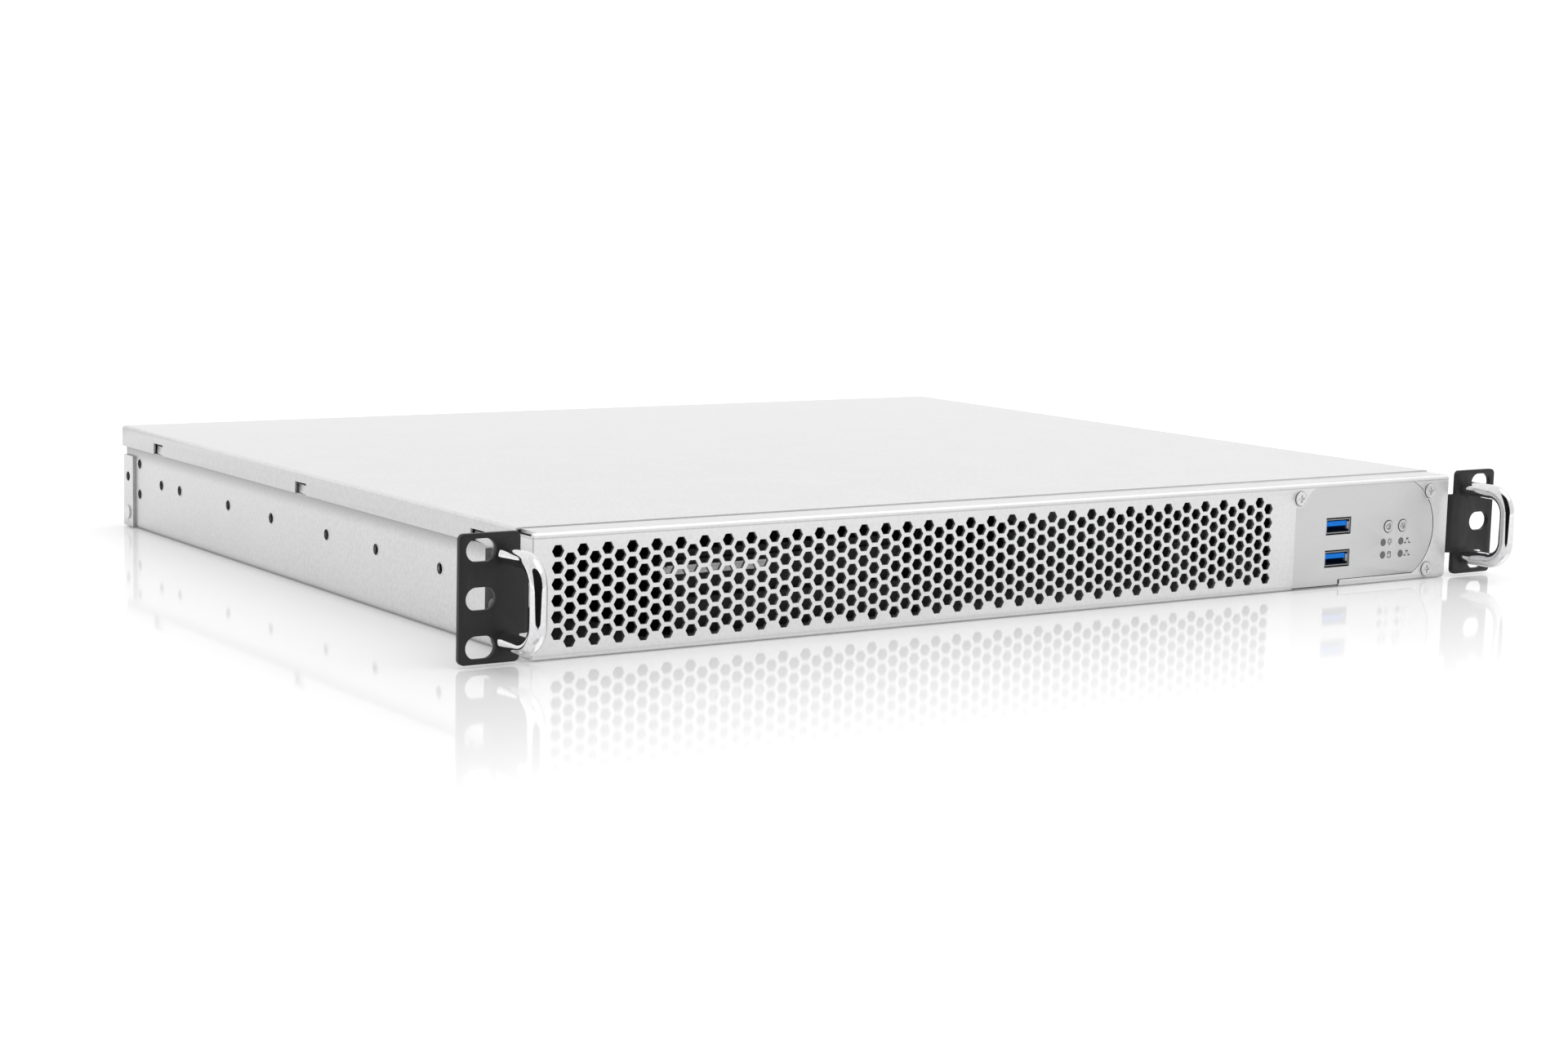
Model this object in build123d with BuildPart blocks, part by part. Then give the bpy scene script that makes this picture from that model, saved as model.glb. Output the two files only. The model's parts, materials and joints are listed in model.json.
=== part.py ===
from build123d import *
import os
from math import sqrt

# A short 1U rack server: a folded sheet-steel case with a front of punched hexagons, a control
# field at the right, black rack ears with rod handles, a sliding cover and everything inside.
# X runs to the right seen from the front, Y from the front to the rear, Z up from the underside.

os.makedirs("parts", exist_ok=True)

# Case
case_width = 427.5
case_depth = 358.0
front_height = 42.5
cover_top = 43.0
sheet = 1.0
front_sheet = 1.2
bend = 1.2
cover_play = 0.15
slide_gap = 0.1

# Front panel
lip_depth = 11.7
lip_end_gap = 0.7
seam_gap = 0.6
return_top = 41.0
return_bottom = 1.5
ear_tab_depth = 29.0
packer_low_gap = 0.2
packer_top_gap = 0.8
floor_tongue_lap = 3.0
floor_tongue_inset = 1.0

# Punched hexagons
hex_pitch = 5.467
hex_flats = 4.05
hex_columns = 68
hex_rows = 6
hex_left = -204.37
hex_top = 36.13

# Cover
cover_front = 12.0
skirt_bottom = 34.3
cover_edge = 1.3
hook_first = 33.2
hook_pitch = 140.0
hook_count = 3
hook_length = 9.0
hook_height = 3.4
hook_slit = 0.7
hook_push = 1.3
hook_lift = 0.4
hook_front_gap = 1.0
hook_entry_gap = 1.5
hook_end_gap = 2.0
hook_top_gap = 1.0
cover_travel = 12.0
tongue_width = 80.0
tongue_reach = 6.0
tongue_step = 0.3
tongue_joint = 0.2
cover_screw_left = -115.0
cover_screw_right = 205.0
cover_screw_rise = 3.6

# Side walls
rim_width = 9.0
rim_start = 0.5
rail_first = 67.1
rail_pair = 49.5
rail_pitch = 90.6
rail_pairs = 3
rail_height = 21.6
rail_hole = 4.0
spare_hole_depth = 317.3
rear_hole_depth = 341.3
rear_hole_spread = 12.9

# Rear panel
rear_flange = 10.6
rear_flange_bottom = 0.6
rear_flange_top = 30.8
rear_hole_height = 21.8
rivet_height = 6.5
psu_window_left = 2.0
psu_window_right = 1.0
psu_window_edge = 2.0

# Windows in the rear panel
io_left = -90.0
io_right = 40.0
io_bottom = 7.0
io_top = 33.0
slot_left = 92.0
slot_right = 200.0
slot_bottom = 8.0
slot_top = 26.0
vent_z = 32.0
vent_height = 6.0
vent_width = 2.4
vent_pitch = 5.0
vent_count = 20
slot_cover_sheet = 0.9
slot_cover_lap = 3.0

# Sockets in the rear; a size is width, depth and height
usb_stack_x = -78.0
usb_stack_size = (14.5, 17.5, 15.6)
display_x = -56.0
display_size = (16.0, 12.0, 6.4)
network_x = -26.0
network_size = (33.0, 21.0, 13.4)
network_spread = 15.6
serial_x = 10.0
serial_size = (31.0, 14.0, 12.5)
socket_back = 2.0
socket_wall = 0.9
usb_stack_low = 4.3
usb_stack_pitch = 7.2
usb_mouth = 12.4
usb_mouth_height = 4.8
network_middle = 6.2
network_mouth = 11.8
network_mouth_height = 8.0
serial_mouth_width = 18.0
serial_mouth_height = 9.0
block_tongue = 1.6
block_tongue_gap = 1.2
shield_sheet = 0.5
shield_play = 0.2
shield_lap = 2.0

# Rack ears
ear_outer = 240.4
ear_inner = 218.3
ear_bottom = 0.95
ear_height = 42.7
ear_sheet = 2.0
ear_bend = 1.0
ear_corner = 2.0
neck_bottom = 10.0
neck_top = 34.0
slot_pitch = 15.875
slot_centre = 232.55
slot_length = 10.9
slot_width = 7.6
ear_flange_depth = 28.7
ear_screw_depth = 20.0
ear_screw_spread = 14.0

# Rod handles
handle_x = 224.2
handle_rod = 6.0
handle_reach = 25.3
handle_spread = 28.0
handle_bend = 8.5
neck_length = 1.5
handle_neck = 4.6
handle_thread = 3.0

# Screws
screw_head = 5.6
screw_head_height = 1.8
screw_shank = 3.0
fit = 0.1
cross_width = 0.7
cross_length = 3.0
cross_depth = 0.8
ear_screw_head = 6.4
ear_screw_height = 1.6
ear_screw_grip = 5.0
thread_grip = 6.0
thread_hole = 8.0
cover_screw_length = 5.0
control_screw_head = 5.6
control_screw_height = 0.9
control_screw_length = 6.0
rivet_rim = 0.8
rivet_rise = 0.6
rivet_length = 4.0

# Control field
field_left = 127.8
field_foot = 1.0
field_top = 40.3
field_bottom = 3.1
field_step = 152.5
step_notch = 1.0
step_notch_depth = 3.0
field_right_low = 194.7
field_right_top = 193.7
field_right = 205.8
field_gap = 0.4
field_bulge_drop = 0.5
corner_screw_x = 129.9
corner_screw_z = 36.6
right_screw_x = 202.5
right_screw_top = 36.3
right_screw_low = 4.2

# Hollow of the control field, measured from the corner screw
hollow_start = 10.8
hollow_upper = 6.0
hollow_upper_drop = 1.4
hollow_middle = 3.8
hollow_middle_drop = 1.0
hollow_lower = 1.6
hollow_lower_drop = 3.6
hollow_end_drop = 3.5

# USB sockets
usb_x = 151.65
usb_upper = 24.6
usb_lower = 11.6
usb_opening = 13.7
usb_opening_height = 6.9
usb_width = 13.1
usb_height = 5.7
usb_wall = 0.4
tongue_thickness = 1.9
socket_setback = 0.4

# Buttons and lights
power_x = 179.75
reset_x = 187.9
button_z = 22.9
button_size = 4.6
button_play = 0.3
button_travel = 0.8
button_collar = 6.4
button_stem = 2.6
button_dish = 0.5
light_left = 177.3
light_right = 187.4
light_high = 16.5
light_low = 11.4
light_size = 2.8
board_depth = 14.4
board_sheet = 1.6
switch_size = 6.0
switch_body = 3.4
spacer_size = 5.0
spacer_inset = 7.2
spacer_spread = 22.0
bracket_margin = 3.6
bracket_right_margin = 4.5
bracket_flange_low = 6.0
bracket_flange_reach = 3.0
socket_window = 16.0
window_margin = 4.4
lights_margin = 3.0
control_board_low = 4.0
control_board_high = 38.0
edge_gap = 0.3
button_proud = 0.2
button_length = 1.6
collar_height = 0.8
button_rim = 0.8
button_dish_taper = 20.0
tongue_gap = 0.8
tongue_lift = 0.6
tongue_root = 3.0

# Main board
board_left = -95.0
board_size = 170.0
board_lift = 6.5
hole_inset = 8.0
rear_hole_inset = 33.0
shield_gap = 0.7
standoff_radius = 3.0
board_screw_grip = 4.0

# Processor, memory and battery, measured from the board's left and front edges
cooler_right = 62.0
cooler_back = 88.0
cooler_size = 76.0
cooler_top = 37.0
cooler_base = 4.0
fin_count = 15
fin_sheet = 1.4
socket_size = 45.0
socket_height = 6.0
memory_x = 42.0
memory_pitch = 10.0
memory_back = 20.0
memory_length = 133.0
memory_count = 2
memory_sheet = 1.2
memory_top = 39.0
memory_slot_width = 6.4
memory_slot_height = 8.0
memory_latch = 4.0
memory_seat = 3.0
chip_count = 4
chip_pitch = 32.0
chip_length = 20.0
chip_width = 2.8
chip_bottom = 20.0
chip_top = 34.0
battery_right = 20.0
battery_back = 112.0
battery_size = 20.0
battery_height = 3.2

# Power supply
psu_left = -205.0
psu_width = 81.5
psu_length = 150.0
psu_height = 39.6
psu_fan_size = 37.6
psu_fan_duct = 34.6
psu_sheet = 0.8
inlet_offset = 54.6
inlet_z = 21.0
inlet_width = 27.0
inlet_height = 19.6
inlet_depth = 16.0
inlet_flange = 1.8
inlet_corner = 2.0
inlet_wall = 1.6
mouth_width = 21.2
mouth_height = 13.2
mouth_corner = 4.0
pin_pitch = 7.0
pin_width = 2.0
pin_height = 4.0
pin_setback = 1.0
pin_drop = 1.2
earth_rise = 1.6
switch_offset = 74.6
switch_width = 10.0
switch_height = 16.0
switch_flange = 1.4
switch_depth = 9.0
switch_wall = 1.1
rocker_half = 6.3
rocker_width = 6.8
rocker_tilt = 8.0
rocker_play = 0.2
rocker_back = 2.4
rocker_front = 2.6
rocker_dip = 1.1
pivot_size = 1.6
pivot_reach = 0.6
pivot_setback = 0.4
guard_radii = (16.6, 11.6, 6.6)
guard_wire = 1.0
guard_thickness = 0.9

# Fans
fan_size = 40.0
fan_depth = 28.0
fan_duct = 37.5
fan_hub = 16.5
fan_blades = 7
fan_front = 138.0
fan_first = -12.0
fan_pitch = 42.0
fan_count = 3
fan_corner = 3.0
fan_wall_margin = 1.5
fan_wall_top = 40.0
fan_wall_foot = 8.0
fan_cheek_top = 36.0
fan_shaft = 2.0
fan_seat = 3.0
fan_strut = 2.2
fan_strut_joint = 1.0
hub_start = 3.0
hub_gap = 0.5
blade_gap = 0.7
blade_chord = 13.5
blade_sheet = 1.1
blade_angle = 48.0
blade_joint = 1.0
shaft_play = 0.05

# Cables
power_cable_offset = 56.5
power_cable_z = 22.0
power_cable_size = 9.0
signal_cable_size = 4.6
power_plug_left = 14.0
power_plug_front = 3.0
power_plug_width = 52.0
power_plug_depth = 10.0
power_plug_height = 12.0
power_cable_end = 20.0
power_cable_rise = 8.0
power_cable_turn = 7.5
power_cable_bend = 5.5
signal_plug_width = 8.0
signal_plug_depth = 14.0
signal_plug_height = 8.0
signal_plug_inset = 1.0
control_socket_back = 14.0
drive_socket_back = 30.0
drive_end_plug_x = 31.0
drive_end_plug_width = 18.0
drive_end_plug_depth = 8.0
plug_clearance = 0.2
control_end_plug_x = 3.0
control_end_plug_z = 21.0
control_end_plug_width = 14.0
control_end_plug_depth = 6.0
control_end_plug_height = 8.0

# Drive
drive_left = -149.0
drive_width = 101.6
drive_length = 147.0
drive_height = 26.1
drive_front = 24.0
drive_lift = 2.0
drive_step = 3.0
drive_plug_left = 10.0
drive_plug_right = 55.0
drive_plug_height = 6.0
drive_wall = 17.0
drive_wall_gap = 6.0
drive_wall_end = 10.0
drive_foot = 9.0
drive_shelf = 10.0
drive_gap = 0.6

# Worked out from the sizes above
half_width = case_width / 2
wall_outer = half_width - sheet - cover_play
wall_inner = wall_outer - sheet
wall_front = front_sheet + bend
cover_under = cover_top - sheet
rim_top = cover_under - slide_gap
lip_under = front_height - front_sheet
front_y = (handle_reach - case_depth - screw_head_height) / 2
rear_face = case_depth - sheet - slide_gap
rear_inside = rear_face - sheet
ear_middle = ear_bottom + ear_height / 2
floor_top = sheet
board_under = floor_top + board_lift
board_top = board_under + board_sheet
board_right = board_left + board_size
board_front = rear_inside - board_size - shield_gap
psu_front = rear_inside - psu_length
psu_right = psu_left + psu_width
psu_middle_z = floor_top + psu_height / 2
psu_fan_x = psu_left + psu_sheet + fit + fit + psu_fan_size / 2
inlet_x = psu_left + inlet_offset
switch_x = psu_left + switch_offset
power_cable_x = psu_left + power_cable_offset
slot_middle = (slot_left + slot_right) / 2
bracket_left = corner_screw_x - bracket_margin
bracket_right = right_screw_x + bracket_right_margin
drive_plug_x = drive_left + drive_end_plug_x
drive_plug_rear = drive_front + drive_length - drive_step + drive_end_plug_depth
drive_plug_top = floor_top + drive_lift + drive_plug_height
control_plug_x = usb_x + control_end_plug_x
control_plug_rear = board_depth + board_sheet + control_end_plug_depth


def behind(depth):
    """Y of a place this far behind the front face."""
    return front_y + depth


def front_plane(depth):
    """A plane seen from the front, so that extruding it by a negative amount goes backwards."""
    return Plane(origin=(0, behind(depth), 0), x_dir=(1, 0, 0), z_dir=(0, -1, 0))


def keep(piece, name):
    """Label a finished piece and write it under its own name."""
    piece.part.label = name
    export_step(piece.part, f"parts/{name}.step")


def slab(low, high, mode=Mode.ADD):
    """A block between two corners, whose Y values are depths behind the front face."""
    size = [high[i] - low[i] for i in range(3)]
    with Locations((low[0] + size[0] / 2, behind(low[1] + size[1] / 2), low[2] + size[2] / 2)):
        Box(*size, mode=mode)


def hexagon_places():
    """Centres of the punched hexagons: every other column sits half a pitch lower."""
    places = []
    for column in range(hex_columns):
        x = hex_left + column * hex_pitch * sqrt(3) / 2
        drop = (column % 2) * hex_pitch / 2
        for row in range(hex_rows):
            places.append((x, hex_top - drop - row * hex_pitch))
    return places


def control_field(right_gap):
    """Face of the control field: round at the right, hollowed round the corner screw."""
    low_end = (field_right_low - right_gap, field_bottom)
    top_end = (field_right_top - right_gap, field_top)
    right_middle = (field_right - right_gap, (field_top + field_bottom) / 2 - field_bulge_drop)
    shoulder_end = (corner_screw_x + hollow_start, field_top)
    hollow_end = (corner_screw_x + hollow_middle, corner_screw_z - hollow_middle_drop)
    upper_turn = (corner_screw_x + hollow_upper, field_top - hollow_upper_drop)
    lower_turn = (corner_screw_x + hollow_lower, corner_screw_z - hollow_lower_drop)
    left_end = (field_left, corner_screw_z - hollow_end_drop)
    with BuildSketch() as field:
        with BuildLine():
            Polyline(left_end, (field_left, field_foot), (field_step, field_foot),
                     (field_step, field_bottom), low_end)
            ThreePointArc(low_end, right_middle, top_end)
            Line(top_end, shoulder_end)
            ThreePointArc(shoulder_end, upper_turn, hollow_end)
            ThreePointArc(hollow_end, lower_turn, left_end)
        make_face()
    return field.sketch


def make_chassis_tray():
    """Floor and side walls, with inward rims and the slots that hold the cover's hooks."""
    middle = wall_outer - sheet / 2
    rim_middle = rim_top - sheet / 2
    with BuildPart() as tray:
        with BuildSketch(front_plane(wall_front)):
            with BuildLine():
                FilletPolyline((rim_width - middle, rim_middle), (-middle, rim_middle), (-middle, sheet / 2),
                               (middle, sheet / 2), (middle, rim_middle), (middle - rim_width, rim_middle),
                               radius=bend)
            trace(line_width=sheet)
        extrude(amount=wall_front - rear_inside)
        # The floor starts behind the front panel's bottom lip, with a raised tongue on top of it.
        lap = lip_depth + sheet
        tongue_front = wall_front + floor_tongue_lap
        slab((-half_width, 0, 0), (half_width, lap, front_sheet), mode=Mode.SUBTRACT)
        slab((-half_width, 0, rim_top - sheet), (half_width, cover_front + rim_start, cover_top),
             mode=Mode.SUBTRACT)
        with BuildSketch(Plane.YZ):
            with BuildLine():
                Polyline((behind(tongue_front), front_sheet), (behind(lap), front_sheet), (behind(lap), 0),
                         (behind(lap + sheet), 0), (behind(lap + sheet), front_sheet + sheet),
                         (behind(tongue_front), front_sheet + sheet), close=True)
            make_face()
        extrude(amount=wall_inner - floor_tongue_inset, both=True)
        # Each hook drops in at the open end of an L-shaped slot and slides forward under the wall.
        for hook in range(hook_count):
            start = hook_first + hook * hook_pitch
            slot_top = skirt_bottom + hook_height + hook_top_gap
            entry = start + hook_length + hook_entry_gap
            slot_end = start + hook_length + cover_travel + hook_end_gap
            slab((-half_width, start - hook_front_gap, skirt_bottom + slide_gap),
                 (half_width, slot_end, slot_top), mode=Mode.SUBTRACT)
            for side in (-1, 1):
                low_x, high_x = sorted((side * (wall_inner - rim_width), side * half_width))
                slab((low_x, entry, slot_top), (high_x, slot_end, cover_top), mode=Mode.SUBTRACT)
        rail_depths = [rail_first + pair * rail_pitch + hole * rail_pair
                       for pair in range(rail_pairs) for hole in range(2)]
        places = [(behind(depth), rail_height) for depth in rail_depths + [spare_hole_depth]]
        places += [(behind(rear_hole_depth), rail_height + step * rear_hole_spread / 2) for step in (-1, 1)]
        places += ear_screw_places()
        places += rear_flange_places()
        with BuildSketch(Plane.YZ):
            with Locations(*places):
                Circle(rail_hole / 2)
        extrude(amount=half_width, both=True, mode=Mode.SUBTRACT)
    keep(tray, "chassis_tray")


def make_front_panel():
    """Front sheet with hexagons, folded back at the top, bottom and sides."""
    middle = front_sheet / 2
    field = control_field(0)
    with BuildPart() as panel:
        with BuildSketch(Plane.YZ):
            with BuildLine():
                FilletPolyline((behind(lip_depth), front_height - middle),
                               (behind(middle), front_height - middle), (behind(middle), middle),
                               (behind(lip_depth), middle), radius=bend)
            trace(line_width=front_sheet)
        extrude(amount=half_width, both=True)
        for side in (-1, 1):
            gap_in, gap_out = sorted((side * (wall_outer - lip_end_gap), side * half_width))
            slab((gap_in, front_sheet, 0), (gap_out, lip_depth, front_height), mode=Mode.SUBTRACT)
            low_x, high_x = sorted((side * wall_outer, side * half_width))
            slab((low_x, front_sheet, return_bottom), (high_x, cover_front - seam_gap, return_top))
        corners = panel.edges().filter_by(Axis.Z).group_by(Axis.Y)[0]
        fillet(corners, radius=bend / 2)
        with BuildSketch(front_plane(0)):
            add(field)
        extrude(amount=-front_sheet, mode=Mode.SUBTRACT)
        slab((field_step, 0, 0), (field_step + step_notch, step_notch_depth, field_bottom),
             mode=Mode.SUBTRACT)
        with BuildSketch(front_plane(0)):
            with Locations(*control_screw_places()):
                Circle(screw_shank / 2 + fit)
        extrude(amount=-lip_depth, mode=Mode.SUBTRACT)
        # The punched field is drawn as one face with its holes and set into a plain window.
        places = hexagon_places()
        hole_x = [place[0] for place in places]
        hole_z = [place[1] for place in places]
        field_low = (min(hole_x) - hex_pitch, min(hole_z) - hex_pitch / 2)
        field_high = (max(hole_x) + hex_pitch, max(hole_z) + hex_pitch / 2)
        slab((field_low[0], 0, field_low[1]), (field_high[0], front_sheet, field_high[1]), mode=Mode.SUBTRACT)
        with BuildSketch(front_plane(0)):
            with Locations(((field_low[0] + field_high[0]) / 2, (field_low[1] + field_high[1]) / 2)):
                Rectangle(field_high[0] - field_low[0], field_high[1] - field_low[1])
            with Locations(*places):
                RegularPolygon(hex_flats / 2, 6, major_radius=False, mode=Mode.SUBTRACT)
        extrude(amount=-front_sheet)
    keep(panel, "front_panel")


def control_screw_places():
    """The three screws round the control field."""
    right_screws = [(right_screw_x, z) for z in (right_screw_top, right_screw_low)]
    return [(corner_screw_x, corner_screw_z)] + right_screws


def make_ear_packers():
    """Steel strips between the side walls and the ears, flush with the front sheet's side returns."""
    with BuildPart() as packers:
        for side in (-1, 1):
            low_x, high_x = sorted((side * wall_outer, side * half_width))
            slab((low_x, cover_front - seam_gap, neck_bottom + packer_low_gap),
                 (high_x, ear_tab_depth, skirt_bottom - packer_top_gap))
        with BuildSketch(Plane.YZ):
            with Locations(*ear_screw_places()):
                Circle(rail_hole / 2)
        extrude(amount=half_width, both=True, mode=Mode.SUBTRACT)
    keep(packers, "ear_packers")


def ear_screw_places():
    """Depth and height of the two screws through an ear's side tab."""
    return [(behind(ear_screw_depth), ear_middle + step * ear_screw_spread / 2) for step in (-1, 1)]


def make_top_cover():
    """Pan-shaped lid: skirts at the sides and rear, lanced hooks, and a tongue under the front lip."""
    length = case_depth - cover_front
    middle_y = behind(cover_front + length / 2)
    with BuildPart() as cover:
        with BuildSketch(Plane(origin=(0, middle_y, skirt_bottom))):
            Rectangle(case_width, length)
        extrude(amount=cover_top - skirt_bottom)
        fillet(cover.faces().sort_by(Axis.Z)[-1].edges().sort_by(Axis.Y)[1:], radius=cover_edge)
        offset(amount=-sheet, openings=[cover.faces().sort_by(Axis.Z)[0], cover.faces().sort_by(Axis.Y)[0]])
        for hook in range(hook_count):
            start = hook_first + hook * hook_pitch
            end = start + hook_length
            slab((-half_width, start, skirt_bottom),
                 (half_width, end + hook_slit, skirt_bottom + hook_lift + hook_height + hook_slit),
                 mode=Mode.SUBTRACT)
            for side in (-1, 1):
                root = side * (half_width - sheet)
                tip = root - side * hook_push
                with BuildSketch(Plane.XY.offset(skirt_bottom + hook_lift)):
                    with BuildLine():
                        Polyline((root + side * sheet, behind(start)), (tip + side * sheet, behind(end)),
                                 (tip, behind(end)), (root, behind(start)), close=True)
                    make_face()
                extrude(amount=hook_height)
        # The tongue steps down through the seam and reaches under the front lip.
        tongue_top = lip_under - slide_gap
        tip_y = behind(cover_front - tongue_reach)
        step_y = behind(cover_front + tongue_step)
        root_y = behind(cover_front + tongue_step + sheet)
        joint = cover_under + tongue_joint
        with BuildSketch(Plane.YZ):
            with BuildLine():
                Polyline((tip_y, tongue_top), (step_y, tongue_top), (step_y, joint), (root_y, joint),
                         (root_y, tongue_top - sheet), (tip_y, tongue_top - sheet), close=True)
            make_face()
        extrude(amount=tongue_width / 2, both=True)
        with BuildSketch(front_plane(case_depth)):
            with Locations(*cover_screw_places()):
                Circle(screw_shank / 2 + fit)
        extrude(amount=2 * sheet, mode=Mode.SUBTRACT)
    keep(cover, "top_cover")


def cover_screw_places():
    """The two screws that lock the cover to the rear panel."""
    return [(x, skirt_bottom + cover_screw_rise) for x in (cover_screw_left, cover_screw_right)]


def screws_on(plane, places, length, head=screw_head, height=screw_head_height, shank=screw_shank):
    """Cross-head screws whose heads rise from a plane and whose shanks run below it."""
    with BuildPart() as screws:
        with BuildSketch(plane):
            with Locations(*places):
                Circle(head / 2)
        extrude(amount=height)
        with BuildSketch(plane):
            with Locations(*places):
                Circle(shank / 2)
        extrude(amount=-length)
        with BuildSketch(plane.offset(height)):
            with Locations(*places):
                Rectangle(cross_length, cross_width)
                Rectangle(cross_width, cross_length)
        extrude(amount=-cross_depth, mode=Mode.SUBTRACT)
    return screws


def rear_flange_places():
    """Depth and height of the open hole and the riveted one in a rear flange."""
    return [(behind(rear_face - rear_flange / 2), z) for z in (rear_hole_height, rivet_height)]


def make_rear_panel():
    """Rear sheet with side flanges outside the walls and windows for what reaches the rear."""
    with BuildPart() as panel:
        slab((-wall_inner, rear_inside, rear_flange_bottom), (wall_inner, rear_face, rim_top))
        for side in (-1, 1):
            low_x, high_x = sorted((side * wall_inner, side * half_width))
            slab((low_x, rear_inside, rear_flange_bottom), (high_x, rear_face, rear_flange_top))
            low_x, high_x = sorted((side * wall_outer, side * half_width))
            slab((low_x, rear_face - rear_flange, rear_flange_bottom), (high_x, rear_inside, rear_flange_top))
        corners = panel.edges().filter_by(Axis.Z).group_by(Axis.Y)[-1]
        fillet([corners.sort_by(Axis.X)[0], corners.sort_by(Axis.X)[-1]], radius=bend / 2)
        with BuildSketch(Plane.YZ):
            with Locations(*rear_flange_places()):
                Circle(rail_hole / 2)
        extrude(amount=half_width, both=True, mode=Mode.SUBTRACT)
        slab((psu_left + psu_window_left, rear_inside, floor_top + psu_window_edge),
             (psu_right - psu_window_right, rear_face, floor_top + psu_height - psu_window_edge),
             mode=Mode.SUBTRACT)
        slab((io_left, rear_inside, io_bottom), (io_right, rear_face, io_top), mode=Mode.SUBTRACT)
        slab((slot_left, rear_inside, slot_bottom), (slot_right, rear_face, slot_top), mode=Mode.SUBTRACT)
        with BuildSketch(front_plane(rear_inside)):
            with Locations((slot_middle, vent_z)):
                with GridLocations(vent_pitch, 0, vent_count, 1):
                    Rectangle(vent_width, vent_height)
        extrude(amount=-sheet, mode=Mode.SUBTRACT)
        with BuildSketch(front_plane(rear_inside)):
            with Locations(*cover_screw_places()):
                Circle(screw_shank / 2 + fit)
        extrude(amount=-sheet, mode=Mode.SUBTRACT)
    keep(panel, "rear_panel")


def make_ear(side, name):
    """A bent black bracket: a rack plate in front and a flange along the case's side."""
    inner = side * half_width
    outer = side * (half_width + ear_sheet)
    with BuildPart() as ear:
        with BuildSketch(Plane.XY.offset(ear_bottom)):
            with BuildLine():
                FilletPolyline((side * ear_outer, behind(ear_sheet / 2)),
                               (side * (half_width + ear_sheet / 2), behind(ear_sheet / 2)),
                               (side * (half_width + ear_sheet / 2), behind(ear_flange_depth)),
                               radius=ear_bend + ear_sheet / 2)
            trace(line_width=ear_sheet)
        extrude(amount=ear_height)
        # Above and below the neck only the rack plate is left.
        low_x, high_x = sorted((0, side * ear_inner))
        slab((low_x, 0, 0), (high_x, ear_flange_depth, neck_bottom), mode=Mode.SUBTRACT)
        slab((low_x, 0, neck_top), (high_x, ear_flange_depth, ear_bottom + ear_height), mode=Mode.SUBTRACT)
        plate_corners = ear.edges().filter_by(Axis.Y).filter_by(lambda edge: edge.length < ear_sheet + fit)
        tips = plate_corners.group_by(Axis.Z)[0] + plate_corners.group_by(Axis.Z)[-1]
        fillet(tips, radius=ear_corner)
        with BuildSketch(front_plane(0)):
            for step in (-1, 0, 1):
                with Locations((side * slot_centre, ear_middle + step * slot_pitch)):
                    SlotOverall(slot_length, slot_width)
        extrude(amount=-ear_sheet, mode=Mode.SUBTRACT)
        with BuildSketch(front_plane(0)):
            with Locations(*handle_feet(side)):
                Circle(handle_thread / 2 + fit)
        extrude(amount=-ear_sheet, mode=Mode.SUBTRACT)
        with BuildSketch(Plane.YZ.offset(inner)):
            with Locations(*ear_screw_places()):
                Circle(rail_hole / 2)
        extrude(amount=outer - inner, mode=Mode.SUBTRACT)
    keep(ear, name)


def handle_feet(side):
    """Where a handle's two legs stand on its ear."""
    return [(side * handle_x, ear_middle + step * handle_spread / 2) for step in (-1, 1)]


def make_handle(side, name):
    """A bright rod bent to a U, with a thinner shoulder and a threaded hole at each foot."""
    front = behind(handle_rod / 2 - handle_reach)
    foot = behind(-neck_length)
    low, high = [place[1] for place in handle_feet(side)]
    with BuildPart() as handle:
        with BuildLine(Plane.YZ.offset(side * handle_x)) as path:
            FilletPolyline((foot, low), (front, low), (front, high), (foot, high), radius=handle_bend)
        with BuildSketch(Plane(origin=(side * handle_x, foot, low), x_dir=(1, 0, 0), z_dir=(0, -1, 0))):
            Circle(handle_rod / 2)
        sweep(path=path.line)
        with BuildSketch(front_plane(0)):
            with Locations(*handle_feet(side)):
                Circle(handle_neck / 2)
        extrude(amount=neck_length)
        with BuildSketch(front_plane(0)):
            with Locations(*handle_feet(side)):
                Circle(handle_thread / 2 + fit / 2)
        extrude(amount=thread_hole, mode=Mode.SUBTRACT)
    keep(handle, name)


def rear_looking(depth):
    """A plane seen from the rear, so that extruding it by a positive amount goes backwards."""
    return Plane(origin=(0, behind(depth), 0), x_dir=(1, 0, 0), z_dir=(0, 1, 0))


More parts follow.
